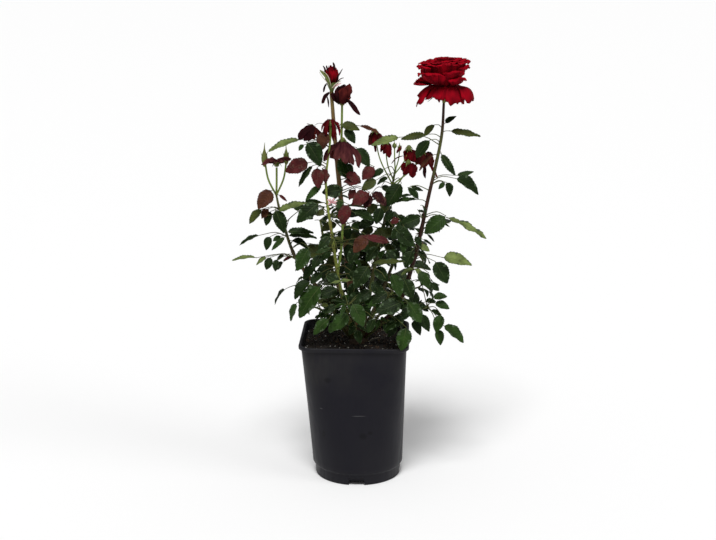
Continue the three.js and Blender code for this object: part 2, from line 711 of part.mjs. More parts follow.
// A faded flower: a small hip with limp petals that stand out a little and then hang, where they have room
function buildFaded([, crown, radius, drop, petals]) {
  const middle = new THREE.Vector3(...crown);
  const knob = solidOf(turned([[0, -6], [4.6, -2.5], [4.4, 2], [0, 5]], 5).translate(...crown));
  const roll = dice(Math.round(Math.abs(crown[0] * 7 + crown[2])));
  const blades = [];
  for (let i = 0; i < petals; i += 1) {
    const start = (i / petals) * 2 * Math.PI + 0.5 * roll();
    const fall = drop * (0.8 + 0.25 * roll());
    for (const shift of [0, 0.3, -0.3, 0.6, -0.6]) {
      const out = new THREE.Vector3(Math.cos(start + shift), Math.sin(start + shift), 0);
      const base = middle.clone().addScaledVector(out, 2.6);
      const axis = out.clone().multiplyScalar(radius).add(new THREE.Vector3(0, 0, -fall)).normalize();
      const side = new THREE.Vector3(-out.y, out.x, 0);
      const up = new THREE.Vector3().crossVectors(axis, side);
      const root = (hand) => ({ point: base.clone().addScaledVector(side, hand), up, thick: LEAFLET.thick });
      const edge = bladeEdge({ base, axis, up, length: Math.hypot(radius, fall), broad: PETAL_BREADTH });
      const blade = slabSolid([root(-1), ...edge, root(1)], FAN);
      const crossed = blades.some((other) => blade.intersect(other).volume() > 0.05);
      if (!crossed && !touches(blade, 'flower')) {
        blades.push(blade);
        break;
      }
    }
  }
  let flower = fuse([knob, ...blades]);
  for (const sleeve of sleeves) {
    flower = flower.subtract(sleeve);
  }
  return largest(flower);
}

// ---------------------------------------------------------------- the plant

const rose = new THREE.Group();
rose.name = 'potted_rose';
const kept = [];

function boxesMeet(a, b, clear) {
  return [0, 1, 2].every((k) => a.min[k] < b.max[k] + clear && b.min[k] < a.max[k] + clear);
}

function touches(solid, owner, leaf) {
  const box = solid.boundingBox();
  return kept.some((other) => (other.owner !== owner || (other.leaf !== undefined && other.leaf !== leaf))
    && boxesMeet(box, other.box, 0) && solid.intersect(other.solid).volume() > 1e-7);
}

function keep(owner, solid, leaf) {
  kept.push({ owner, solid, leaf, box: solid.boundingBox() });
}

function add(name, solid, colour, roughness) {
  rose.add(meshOf(name, solid, colour, roughness));
}

// Cut a solid back so that it stands the gap clear of another
function clearOf(solid, curve, from, to, radiusAt, sides) {
  const sleeve = limb(curve, from, to, (place) => radiusAt(place) + GAP / Math.cos(Math.PI / sides), sides, 4);
  return solid.subtract(solidOf(sleeve));
}

const pot = buildPot();
const soil = buildSoil();
const union = buildUnion();
const unionShell = solidOf(reshape(turned([
  [0, -1], [UNION.foot + GAP, -1], [UNION.foot - 1.4 + GAP, 4], [UNION.waist + GAP, 10],
  [UNION.waist + 0.7 + GAP, 16],
  [UNION.top + 2.1 + GAP, UNION.height - 3], [UNION.top - 3 + GAP, UNION.height + GAP], [0, UNION.height + GAP],
], 10), (point) => {
  const up = point.z / UNION.height;
  const angle = Math.atan2(point.y, point.x);
  const swell = 1.006 + 0.07 * Math.sin(3 * angle + 1) * (1 - up) + 0.06 * Math.cos(5 * angle) * up;
  const base = SOIL.level + GAP;
  return new THREE.Vector3(
    point.x * swell + UNION.lean[0] * up, point.y * swell + UNION.lean[1] * up, point.z + base,
  );
}));
add('pot', pot, COLOURS.pot, 0.55);
add('soil', soil, COLOURS.soil, 0.95);
add('graft_union', union, COLOURS.cane, 0.8);
keep('pot', pot);
keep('soil', soil);
keep('graft_union', union);

// Boughs first, each cut clear of the union and of the boughs before it
const boughs = [];
for (const cane of CANES) {
  const curve = curveOf(cane.path);
  let bough = solidOf(limb(curve, 0, cane.join, caneRadius(cane), 6, 4)).subtract(unionShell);
  for (const other of boughs) {
    bough = clearOf(bough, other.curve, 0, other.cane.join, caneRadius(other.cane), 6);
  }
  bough = largest(bough);
  boughs.push({ cane, curve });
  add(`${cane.name}_bough`, bough.simplify(0.05), COLOURS.cane, 0.7);
  keep(`${cane.name}_bough`, bough);
}

// Stems and side twigs of every mass, so that leaves can be kept off them
const masses = [];
const sleeves = [];
for (const plant of [...CANES, ...SHOOTS]) {
  const owner = `${plant.name}_foliage`;
  const curve = curveOf(plant.path);
  const span = curve.getLength();
  const from = plant.join === undefined ? 0 : plant.join + GAP / span;
  let stem = solidOf(limb(curve, from, 1, caneRadius(plant), 4, 5));
  if (plant.join === undefined) {
    stem = stem.subtract(unionShell);
    for (const other of boughs) {
      stem = clearOf(stem, other.curve, 0, other.cane.join, caneRadius(other.cane), 6);
    }
    stem = largest(stem);
  }
  const parts = [stem];
  sleeves.push(solidOf(limb(curve, from, 1, (place) => caneRadius(plant)(place) + 1.5 * GAP, 4, 5)));
  for (const [name, place, end, radius] of TWIGS.filter(([name]) => name === plant.name)) {
    const twig = twigCurve(plant, place, end);
    const thick = caneRadius(plant)(place) * 0.8;
    const taper = (share) => thick + (radius - thick) * share;
    parts.push(solidOf(limb(twig, 0, 1, taper, 3, 2)));
    sleeves.push(solidOf(limb(twig, 0, 1, (share) => taper(share) + 2 * GAP, 3, 2)));
  }
  for (const [name, centre, length, radius] of HIPS.filter(([name]) => name === plant.name)) {
    parts.push(spindle(centre, length, radius));
  }
  masses.push({ plant, owner, parts });
  parts.forEach((part) => keep(owner, part));
}

// Flowers
const bloom = buildBloom();
add('open_bloom', bloom.simplify(0.1), COLOURS.bloom, 0.6);
keep('open_bloom', bloom);
const bud = buildBud();
add('top_bud', bud, COLOURS.bloom, 0.6);
keep('top_bud', bud);
for (const row of FADED) {
  const flower = buildFaded(row);
  add(row[0], flower.simplify(0.1), COLOURS.faded, 0.8);
  keep(row[0], flower);
}

// A leaf whose stalk has no room turns and lifts a little until it has, or isn't grown
function roomFor(mass, { row, seed }) {
  for (const [turn, lift] of NUDGES) {
    const [place, bearing, rise, ...rest] = row;
    const { leaf, parts } = growLeaf(mass.plant, { row: [place, bearing + turn, rise + lift, ...rest], seed });
    const stalk = stalkSolid(leaf);
    if (!touches(stalk, mass.owner, leaf)) {
      return { leaf, parts, stalk };
    }
  }
  return null;
}

// Leaves, each kept only where it is clear of every other limb, mass and flower
for (const mass of masses) {
  for (const row of leafRows(mass.plant)) {
    const found = roomFor(mass, row);
    if (!found) {
      continue;
    }
    const { leaf, parts, stalk } = found;
    keep(mass.owner, stalk, leaf);
    const grown = [];
    for (const leaflet of parts) {
      const blade = leafletSolid(leaf, leaflet);
      const crossed = grown.some((other) => blade.intersect(other.blade).volume() > 1e-4);
      if (crossed || touches(blade, mass.owner, leaf)) {
        continue;
      }
      keep(mass.owner, blade, leaf);
      grown.push({ leaflet, blade });
    }
    mass.parts.push(leafSolid(leaf, grown.map(({ leaflet }) => leaflet)));
  }
  add(mass.owner, largest(fuse(mass.parts)).simplify(0.12), COLOURS.leaf, 0.75);
}

export default rose;
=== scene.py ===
"""A red garden rose in a black nursery pot, dressed round its fixed frame.

Sizes are worked in millimetres and turned into metres as each mesh is made. X runs left to right,
Y front to back and Z up from the middle of the pot's underside. Bearings are degrees anticlockwise
from +X seen from above, so the front is -90.
"""

import json
import logging
import math
from dataclasses import dataclass, field
from enum import Enum
from typing import Any, Callable, Iterable, Sequence

import bpy
import numpy as np
from mathutils import Matrix, Vector

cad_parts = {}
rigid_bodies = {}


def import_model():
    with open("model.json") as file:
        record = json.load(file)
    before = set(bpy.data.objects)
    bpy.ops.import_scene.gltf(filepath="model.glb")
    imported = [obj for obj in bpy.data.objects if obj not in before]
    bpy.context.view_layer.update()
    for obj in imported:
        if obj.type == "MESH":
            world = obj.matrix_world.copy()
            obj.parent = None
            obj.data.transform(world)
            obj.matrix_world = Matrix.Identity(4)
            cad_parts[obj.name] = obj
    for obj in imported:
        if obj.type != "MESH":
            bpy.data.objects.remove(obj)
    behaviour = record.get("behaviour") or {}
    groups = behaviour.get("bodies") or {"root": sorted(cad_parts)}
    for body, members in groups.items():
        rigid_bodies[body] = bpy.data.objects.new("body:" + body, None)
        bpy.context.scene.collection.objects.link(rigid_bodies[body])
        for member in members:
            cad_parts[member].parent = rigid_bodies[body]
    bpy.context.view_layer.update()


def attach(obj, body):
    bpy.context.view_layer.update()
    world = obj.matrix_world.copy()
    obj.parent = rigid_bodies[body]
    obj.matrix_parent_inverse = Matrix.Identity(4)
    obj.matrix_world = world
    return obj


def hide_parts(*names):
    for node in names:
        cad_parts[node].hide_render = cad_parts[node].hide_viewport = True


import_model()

log = logging.getLogger("rose")

MM = 0.001
TAU = 2 * math.pi
GOLDEN = math.radians(137.508)
UP = np.array([0.0, 0.0, 1.0])
# Thickness of sepals, old petals and the bud's petals, in millimetres
SHEET = 0.4
Array = np.ndarray
Face = tuple[int, ...]
Colour = tuple[float, float, float]
Socket = bpy.types.NodeSocket
Piece = bpy.types.Object


# ------------------------------------------------------------------ node trees


class Bench:
    """A short way to add and join the nodes of one tree."""

    def __init__(self, tree: bpy.types.NodeTree) -> None:
        """Keep the tree that the nodes go into."""
        self.tree = tree

    def pick(self, sockets: Any, key: str | int) -> Socket:
        """Find a socket by number, or the working one by name.

        Args:
            sockets: The inputs or outputs of a node.
            key: The socket's number or its name.

        Returns:
            The socket.
        """
        if isinstance(key, int):
            return sockets[key]
        return next(one for one in sockets if one.name == key and one.enabled)

    def node(
        self,
        kind: str,
        settings: dict[str, Any] | None = None,
        inputs: dict[str | int, Any] | None = None,
    ) -> bpy.types.Node:
        """Add a node, set it up and join what feeds it.

        Args:
            kind: The node's Blender type.
            settings: Properties of the node.
            inputs: Numbers, colours, sockets or nodes for its inputs, by name or number.

        Returns:
            The new node.
        """
        made = self.tree.nodes.new(kind)
        for key, value in (settings or {}).items():
            setattr(made, key, value)
        for key, value in (inputs or {}).items():
            socket = self.pick(made.inputs, key)
            if isinstance(value, bpy.types.Node):
                value = next(one for one in value.outputs if one.enabled)
            if isinstance(value, Socket):
                self.tree.links.new(value, socket)
            else:
                socket.default_value = value
        return made

    def out(self, node: bpy.types.Node, name: str) -> Socket:
        """Return the working output of that name."""
        return self.pick(node.outputs, name)

    def sum(self, operation: str, *values: Any) -> Socket:
        """Join a Math node.

        Args:
            operation: Its operation, such as MULTIPLY.
            values: Numbers or sockets, in order.

        Returns:
            Its result.
        """
        made = self.node("ShaderNodeMath", {"operation": operation}, dict(enumerate(values)))
        return made.outputs[0]

    def plus(self, *values: Any) -> Socket:
        """Add two numbers or sockets."""
        return self.sum("ADD", *values)

    def times(self, *values: Any) -> Socket:
        """Multiply two numbers or sockets."""
        return self.sum("MULTIPLY", *values)

    def parted(self, vector: Any) -> Sequence[Socket]:
        """Part a vector into its X, Y and Z."""
        return self.node("ShaderNodeSeparateXYZ", inputs={"Vector": vector}).outputs

    def place(self) -> Sequence[Socket]:
        """Return the object's own X, Y and Z, in metres."""
        return self.parted(self.out(self.node("ShaderNodeTexCoord"), "Object"))

    def flat(self) -> Sequence[Socket]:
        """Return how far along and across its own map says a spot of a leaf or petal lies."""
        return self.parted(self.node("ShaderNodeUVMap"))

    def blend(self, share: Any, low: Any, high: Any) -> Socket:
        """Mix two colours.

        Args:
            share: How much of the second, as a number or socket.
            low: The colour at 0.
            high: The colour at 1.

        Returns:
            The mixed colour.
        """
        made = self.node("ShaderNodeMix", {"data_type": "RGBA"})
        for key, value in ((0, share), (6, low), (7, high)):
            if isinstance(value, Socket):
                self.tree.links.new(value, made.inputs[key])
            elif key == 0:
                made.inputs[key].default_value = value
            else:
                made.inputs[key].default_value = (*value, 1.0)
        return made.outputs[2]

    def spread(self, value: Any, *limits: float) -> Socket:
        """Map a number from one range to another.

        Args:
            value: The socket to map.
            limits: From low, from high, to low and to high.

        Returns:
            The mapped number.
        """
        names = ("From Min", "From Max", "To Min", "To Max")
        made = self.node(
            "ShaderNodeMapRange", {"clamp": True}, {"Value": value, **dict(zip(names, limits))}
        )
        return self.out(made, "Result")

    def grain(self, scale: float, detail: float = 3.0, stretch: Sequence[float] = (1, 1, 1)) -> Socket:
        """Add noise on the object's own coordinates.

        Args:
            scale: Grains a metre.
            detail: How many finer layers it has.
            stretch: How much finer it is along each axis.

        Returns:
            Its value, from 0 to 1.
        """
        place = self.node("ShaderNodeTexCoord")
        turned = self.node(
            "ShaderNodeMapping",
            inputs={"Vector": self.out(place, "Object"), "Scale": tuple(stretch)},
        )
        noise = self.node(
            "ShaderNodeTexNoise", inputs={"Vector": turned, "Scale": scale, "Detail": detail}
        )
        return noise.outputs[0]

    def weave(self, along: float, across: float, detail: float) -> Socket:
        """Add noise on the map of a leaf or petal.

        Args:
            along: Grains from its foot to its tip.
            across: Grains from edge to edge.
            detail: How many finer layers it has.

        Returns:
            Its value, from 0 to 1.
        """
        x, y, _ = self.flat()
        spot = self.node(
            "ShaderNodeCombineXYZ", inputs={"X": self.times(x, along), "Y": self.times(y, across)}
        )
        noise = self.node("ShaderNodeTexNoise", inputs={"Vector": spot, "Scale": 1.0, "Detail": detail})
        return noise.outputs[0]

    def relief(self, height: Any, depth: float, strength: float = 1.0) -> Socket:
        """Raise the surface by a height.

        Args:
            height: The height's socket, from 0 to 1.
            depth: What 1 stands for, in metres.
            strength: How much of it shows.

        Returns:
            The normal for a shader.
        """
        made = self.node(
            "ShaderNodeBump", inputs={"Height": height, "Distance": depth, "Strength": strength}
        )
        return made.outputs[0]

    def shader(self, colour: Any, **values: Any) -> Socket:
        """Add the surface shader.

        Args:
            colour: The base colour, as a socket or three numbers.
            values: Other inputs, with underscores for the spaces in their names.

        Returns:
            The shader's output.
        """
        inputs = {key.replace("_", " "): value for key, value in values.items()}
        inputs["Base Color"] = (colour if isinstance(colour, Socket) else (*colour, 1.0))
        return self.node("ShaderNodeBsdfPrincipled", inputs=inputs).outputs[0]


class Recipe:
    """A Geometry Nodes tree with named inputs that makes one kind of repeated shape."""

    def __init__(self, name: str) -> None:
        """Start the tree with a geometry in and a geometry out."""
        self.tree = bpy.data.node_groups.new(name, "GeometryNodeTree")
        self.bench = Bench(self.tree)
        self.keys: dict[str, str] = {}
        for way in ("INPUT", "OUTPUT"):
            self.tree.interface.new_socket("Geometry", in_out=way, socket_type="NodeSocketGeometry")
        self.start = self.bench.node("NodeGroupInput")

    def ask(self, name: str, kind: str, default: Any = None) -> Socket:
        """Add a named input.

        Args:
            name: Its name.
            kind: Its type, such as Float, Int, Material, Object or Collection.
            default: Its value where none is given.

        Returns:
            The socket that carries it inside the tree.
        """
        made = self.tree.interface.new_socket(name, in_out="INPUT", socket_type=f"NodeSocket{kind}")
        if default is not None:
            made.default_value = default
        self.keys[name] = made.identifier
        return self.bench.pick(self.start.outputs, name)

    def named(self, name: str, kind: str) -> Socket:
        """Read an attribute of the points.

        Args:
            name: The attribute's name.
            kind: Its data type.

        Returns:
            Its value.
        """
        made = self.bench.node("GeometryNodeInputNamedAttribute", {"data_type": kind}, {"Name": name})
        return self.bench.out(made, "Attribute")

    def close(self, geometry: Any, finish: Socket) -> "Recipe":
        """End the tree: real meshes, smooth, in one material.

        Args:
            geometry: What the tree has made.
            finish: The material's socket.

        Returns:
            The recipe itself.
        """
        real = self.bench.node("GeometryNodeRealizeInstances", inputs={"Geometry": geometry})
        smooth = self.bench.node("GeometryNodeSetShadeSmooth", inputs={"Geometry": real})
        dressed = self.bench.node(
            "GeometryNodeSetMaterial", inputs={"Geometry": smooth, "Material": finish}
        )
        self.bench.node("NodeGroupOutput", inputs={0: dressed})
        return self

    def run(self, carrier: Piece, **values: Any) -> Piece:
        """Work the recipe on a carrier and leave the plain mesh in its place.

        Args:
            carrier: The object whose mesh the recipe starts from.
            values: The inputs, with underscores for the spaces in their names.

        Returns:
            The carrier, now with the finished mesh.
        """
        modifier = carrier.modifiers.new(self.tree.name, "NODES")
        modifier.node_group = self.tree
        for key, value in values.items():
            modifier[self.keys[key.replace("_", " ")]] = value
        return settle(carrier)


def settle(piece: Piece) -> Piece:
    """Turn an object's modifiers into its mesh.

    Args:
        piece: The object.

    Returns:
        The same object, with a plain mesh and no modifiers.
    """
    graph = bpy.context.evaluated_depsgraph_get()
    graph.update()
    mesh = bpy.data.meshes.new_from_object(piece.evaluated_get(graph), depsgraph=graph)
    piece.modifiers.clear()
    piece.data = mesh
    mesh.name = piece.name
    return piece


# ------------------------------------------------------------------ finishes


@dataclass(frozen=True)
class Finish:
    """A surface finish, painted by nodes; the fineness of its patches is in grains a metre."""

    name: str

    def paint(self, bench: Bench) -> Socket:
        """Return the shader of the finish; each kind of finish has its own."""
        raise NotImplementedError(self.name)

    def material(self) -> bpy.types.Material:
        """Return the Blender material, made on first use."""
        found = bpy.data.materials.get(self.name)
        if found:
            return found
        made = bpy.data.materials.new(self.name)
        made.use_nodes = True
        made.node_tree.nodes.clear()
        bench = Bench(made.node_tree)
        bench.node("ShaderNodeOutputMaterial", inputs={"Surface": self.paint(bench)})
        return made


@dataclass(frozen=True)
class PotPlastic(Finish):
    """Black moulded plastic, a little dusty and rubbed."""

    colour: Colour = (0.0064, 0.006, 0.0098)
    dust: Colour = (0.025, 0.024, 0.022)
    scuff: Colour = (0.045, 0.045, 0.048)
    smudge: float = 0.45
    patches: float = 9.0
    rubs: float = 160.0
    pits: float = 900.0
    scuffs: tuple[tuple[float, float, float, float], ...] = (
        (0.0047, 0.1315, 0.0135, 0.0009), (-0.061, 0.1424, 0.003, 0.0012),
    )
    smudges: tuple[tuple[float, float, float, float], ...] = (
        (-0.0575, 0.093, 0.0035, 0.009), (0.0115, 0.094, 0.008, 0.007),
        (-0.049, 0.197, 0.007, 0.006), (0.024, 0.1, 0.005, 0.004),
    )

    def marks(self, bench: Bench, spots: Sequence[tuple[float, ...]]) -> Socket:
        """Mask soft-edged patches of the pot's front face.

        Args:
            bench: The tree to paint in.
            spots: Each patch's middle across and up, and half its width and height.

        Returns:
            The mask, from 0 to 1.
        """
        place = bench.place()
        mask: Any = 0.0
        for x, z, wide, high in spots:
            across = bench.sum("DIVIDE", bench.sum("SUBTRACT", place[0], x), wide)
            up = bench.sum("DIVIDE", bench.sum("SUBTRACT", place[2], z), high)
            far = bench.plus(bench.times(across, across), bench.times(up, up))
            mask = bench.sum("MAXIMUM", mask, bench.spread(far, 0.2, 1.0, 1, 0))
        return bench.times(mask, bench.spread(place[1], -0.06, -0.05, 1, 0))

    def paint(self, bench: Bench) -> Socket:
        """Paint dull black with dust in soft patches and fine upright rubs.

        Args:
            bench: The tree to paint in.

        Returns:
            The shader.
        """
        patch = bench.grain(self.patches, 4)
        rubs = bench.grain(self.rubs, 3, (1, 1, 0.06))
        high = bench.spread(bench.place()[2], 0.13, 0.21, 0.3, 1.3)
        dusty = bench.times(bench.spread(patch, 0.4, 0.7, 0, 0.9), rubs)
        dusted = bench.blend(bench.times(dusty, high), self.colour, self.dust)
        smudged = bench.times(self.marks(bench, self.smudges), self.smudge)
        dark = bench.blend(smudged, dusted, (0, 0, 0))
        colour = bench.blend(self.marks(bench, self.scuffs), dark, self.scuff)
        rough = bench.spread(rubs, 0.3, 0.75, 0.4, 0.56)
        skin = bench.relief(bench.grain(self.pits, 2), 0.00012, 0.35)
        return bench.shader(colour, Roughness=rough, Normal=skin, Specular_IOR_Level=0.13)


@dataclass(frozen=True)
class Earth(Finish):
    """Damp crumbly matter in one dark tone and one lighter one."""

    dark: Colour = (0.008, 0.006, 0.005)
    light: Colour = (0.035, 0.024, 0.016)
    rough: float = 0.92
    crumbs: float = 420.0
    depth: float = 0.0012

    def paint(self, bench: Bench) -> Socket:
        """Paint two tones of grain with a crumbly relief.

        Args:
            bench: The tree to paint in.

        Returns:
            The shader.
        """
        fine = bench.grain(self.crumbs, 6)
        colour = bench.blend(bench.spread(fine, 0.4, 0.66, 0, 1), self.dark, self.light)
        return bench.shader(colour, Roughness=self.rough, Normal=bench.relief(fine, self.depth, 0.9))


@dataclass(frozen=True)
class Bark(Finish):
    """Smooth rose cane: green where young, brown and red where old or in the sun."""

    young: Colour = (0.075, 0.095, 0.02)
    old: Colour = (0.05, 0.03, 0.013)
    flush: Colour = (0.08, 0.018, 0.012)
    pore: Colour = (0.3, 0.26, 0.14)
    streaks: float = 230.0
    blotches: float = 38.0
    pores: float = 1300.0

    def paint(self, bench: Bench) -> Socket:
        """Paint long streaks from young to old by the cane's own age, with pale pores.

        Args:
            bench: The tree to paint in.

        Returns:
            The shader.
        """
        age = bench.node("ShaderNodeAttribute", {"attribute_name": "age"})
        streak = bench.grain(self.streaks, 4, (1, 1, 0.12))
        blotch = bench.grain(self.blotches, 3, (1, 1, 0.5))
        aged = bench.plus(bench.out(age, "Fac"), bench.spread(blotch, 0.3, 0.7, -0.4, 0.35))
        base = bench.blend(bench.spread(aged, 0.1, 0.9, 0, 1), self.young, self.old)
        red = bench.blend(bench.spread(streak, 0.5, 0.72, 0, 0.6), base, self.flush)
        pores = bench.spread(bench.grain(self.pores, 1, (1, 1, 0.5)), 0.66, 0.76, 0, 0.2)
        colour = bench.blend(pores, red, self.pore)
        skin = bench.relief(bench.plus(streak, pores), 0.0004, 0.7)
        return bench.shader(colour, Roughness=0.52, Normal=skin, Specular_IOR_Level=0.15)


@dataclass(frozen=True)
class LeafFace(Finish):
    """The upper face of a leaflet in one tint, with veins sunk in it."""

    colour: Colour = (0.02, 0.05, 0.015)
    vein: Colour = (0.07, 0.11, 0.04)
    rough: float = 0.38
    veined: float = 0.26
    veins: float = 8.0
    mottling: float = 70.0
    patches: float = 55.0
    puffs: float = 900.0

    def paint(self, bench: Bench) -> Socket:
        """Paint the tint with side veins by the leaflet's own map and soft mottling.

        Args:
            bench: The tree to paint in.

        Returns:
            The shader.
        """
        along, across, _ = bench.flat()
        side = bench.sum("ABSOLUTE", bench.sum("MULTIPLY_ADD", across, 2.0, -1.0))
        phase = bench.times(bench.sum("MULTIPLY_ADD", side, -0.26, along), self.veins)
        off = bench.sum("PINGPONG", phase, 0.5)
        line = bench.spread(off, 0.0, 0.11, 1, 0)
        mottle = bench.spread(bench.grain(self.mottling, 3), 0.3, 0.7, 0.55, 1.35)
        tone = bench.node(
            "ShaderNodeVectorMath", {"operation": "SCALE"}, {0: self.colour, "Scale": mottle}
        )
        colour = bench.blend(bench.times(line, self.veined), tone.outputs[0], self.vein)
        puff = bench.plus(bench.times(off, 1.2), bench.grain(self.puffs, 2))
        patch = bench.grain(self.patches, 2)
        rough = bench.spread(patch, 0.3, 0.7, self.rough - 0.07, self.rough + 0.1)
        return bench.shader(
            colour, Roughness=rough, Normal=bench.relief(puff, 0.0006, 0.6), Specular_IOR_Level=0.07
        )


@dataclass(frozen=True)
class LeafBack(Finish):
    """The dull pale underside of a leaflet."""

    colour: Colour = (0.055, 0.085, 0.038)
    shade: float = 0.72
    mottling: float = 90.0
    puffs: float = 800.0

    def paint(self, bench: Bench) -> Socket:
        """Paint the pale side with faint mottling.

        Args:
            bench: The tree to paint in.

        Returns:
            The shader.
        """
        dark = tuple(self.shade * part for part in self.colour)
        patch = bench.spread(bench.grain(self.mottling, 3), 0.35, 0.65, 0, 1)
        colour = bench.blend(patch, dark, self.colour)
        skin = bench.relief(bench.grain(self.puffs, 2), 0.0003, 0.5)
        return bench.shader(colour, Roughness=0.68, Normal=skin, Specular_IOR_Level=0.15)


@dataclass(frozen=True)
class Stem(Finish):
    """Thin soft growth: leaf stalks, flower stalks, ribs and sepals."""

    colour: Colour = (0.075, 0.095, 0.026)
    flush: Colour = (0.07, 0.035, 0.015)
    reach: float = 0.6
    patches: float = 24.0
    pores: float = 1100.0

    def paint(self, bench: Bench) -> Socket:
        """Paint the main tone with patches of the other.

        Args:
            bench: The tree to paint in.

        Returns:
            The shader.
        """
        patch = bench.spread(bench.grain(self.patches, 3), 0.38, 0.68, 0, self.reach)
        colour = bench.blend(patch, self.colour, self.flush)
        skin = bench.relief(bench.grain(self.pores, 2), 0.0002, 0.5)
        return bench.shader(colour, Roughness=0.5, Normal=skin, Specular_IOR_Level=0.15)


@dataclass(frozen=True)
class Petal(Finish):
    """Velvety petal, deeper in tone towards its foot, with painted shade in its folds.

    Where it has a waist, in metres up from the floor, it gets painted shade under it, for the
    shaded skirt under the cup. Its streaks and fold shade are counted along and across its own map.
    """

    colour: Colour = (0.42, 0.004, 0.008)
    deep: Colour = (0.13, 0.001, 0.004)
    sheen: float = 0.35
    rough: float = 0.6
    # Painted shade: under this height, in metres, the colour is scaled by the next value
    waist: float = 0.0
    painted_shade_below: float = 0.68
    streaks: tuple[float, float] = (1.2, 34.0)
    # The broad fold streaks, counted along and across, paint shade into the petal's folds
    folds: tuple[float, float] = (1.6, 2.6)
    patches: float = 45.0
    nap: float = 1400.0

    def paint(self, bench: Bench) -> Socket:
        """Paint fine streaks from foot to rim by the petal's own map.

        Args:
            bench: The tree to paint in.

        Returns:
            The shader.
        """
        along = bench.flat()[0]
        streak = bench.weave(*self.streaks, 3.0)
        # Broad fold streaks darken the petal: painted shade in its folds, a little lighter between
        folds = bench.weave(*self.folds, 2.0)
        patch = bench.plus(
            bench.spread(bench.grain(self.patches, 3), 0.3, 0.7, -0.25, 0.2),
            bench.spread(folds, 0.36, 0.6, -0.4, 0.12),
        )
        rise = bench.plus(bench.spread(along, 0.0, 0.85, 0.1, 0.9), patch)
        lit = bench.times(rise, bench.spread(streak, 0.3, 0.7, 0.84, 1.06))
        lit = bench.times(lit, bench.spread(along, 0.9, 1.0, 1.0, 0.4))
        # Painted shade: darker under the waist height, for the shaded skirt under the cup
        if self.waist:
            high = bench.place()[2]
            tone = bench.spread(high, self.waist, self.waist + 0.008, self.painted_shade_below, 1.0)
            lit = bench.times(lit, tone)
        colour = bench.blend(bench.spread(lit, 0, 1, 0, 1), self.deep, self.colour)
        skin = bench.relief(bench.plus(streak, bench.grain(self.nap, 2)), 0.0004, 0.5)
        return bench.shader(
            colour, Roughness=self.rough, Normal=skin, Specular_IOR_Level=0.04,
            Sheen_Weight=self.sheen, Sheen_Roughness=0.4, Sheen_Tint=(1.0, 0.2, 0.2, 1.0),
        )


@dataclass(frozen=True)
class Paper(Finish):
    """The plain pale floor of the studio."""

    colour: Colour = (0.9, 0.9, 0.9)

    def paint(self, bench: Bench) -> Socket:
        """Paint it nearly even.

        Args:
            bench: The tree to paint in.

        Returns:
            The shader.
        """
        return bench.shader(self.colour, Roughness=0.9)


class Tint(Enum):
    """The tints that leaves are dealt, each with its upper face's finish."""

    DEEP = LeafFace("leaf_deep_green", (0.0085, 0.019, 0.0038), (0.032, 0.055, 0.014))
    MID = LeafFace("leaf_mid_green", (0.0165, 0.039, 0.0065), (0.06, 0.1, 0.026))
    OLIVE = LeafFace("leaf_olive", (0.04, 0.05, 0.011), (0.09, 0.1, 0.03))
    LIGHT = LeafFace("leaf_light_green", (0.13, 0.17, 0.05), (0.22, 0.26, 0.1))
    MAROON = LeafFace("leaf_maroon", (0.072, 0.013, 0.013), (0.03, 0.006, 0.007), 0.6, 0.7)
    ROSY = LeafFace("leaf_rosy", (0.068, 0.012, 0.014), (0.16, 0.05, 0.035), 0.6, 0.4)
    BROWN = LeafFace("leaf_red_brown", (0.064, 0.022, 0.011), (0.13, 0.065, 0.03), 0.6, 0.4)
    DARK = LeafFace("leaf_withered_dark", (0.022, 0.004, 0.005), (0.04, 0.01, 0.01), 0.65, 0.3)


DEEP, MID, OLIVE, LIGHT, MAROON, ROSY, BROWN, DARK = Tint

POT_PLASTIC = PotPlastic("black_pot_plastic")
PEAT = Earth("damp_peat_mix")
CHIPS = Earth("bark_chips", (0.03, 0.016, 0.008), (0.11, 0.06, 0.032), 0.85)
GRIT = Earth("white_perlite", (0.45, 0.44, 0.42), (0.8, 0.79, 0.76), 0.9)
UNION_BARK = Bark("union_bark", (0.1, 0.075, 0.04), (0.055, 0.035, 0.022), (0.07, 0.03, 0.018))
LEAF_BACK = LeafBack("leaf_underside")
RED_LEAF_BACK = LeafBack("red_leaf_underside", (0.075, 0.028, 0.02))
LEAF_RIB = Stem("leaf_rib", (0.05, 0.08, 0.022), (0.07, 0.045, 0.02), 0.4)
RED_LEAF_RIB = Stem("red_leaf_rib", (0.1, 0.03, 0.02), (0.13, 0.06, 0.03), 0.5)
LEAF_STALK = Stem("leaf_stalk")
FLOWER_STALK = Stem("flower_stalk", (0.17, 0.25, 0.045), (0.13, 0.06, 0.025), 0.2)
SEPAL = Stem("sepal_green", (0.11, 0.15, 0.035), (0.17, 0.17, 0.06), 0.6)
STRAW = Stem("dry_straw", (0.42, 0.4, 0.3), (0.25, 0.2, 0.13), 0.6)
HIP = Stem("hip_green", (0.11, 0.15, 0.035), (0.13, 0.06, 0.02), 0.5)
THORN = Stem("thorn_horn", (0.11, 0.05, 0.025), (0.2, 0.13, 0.07), 0.7)
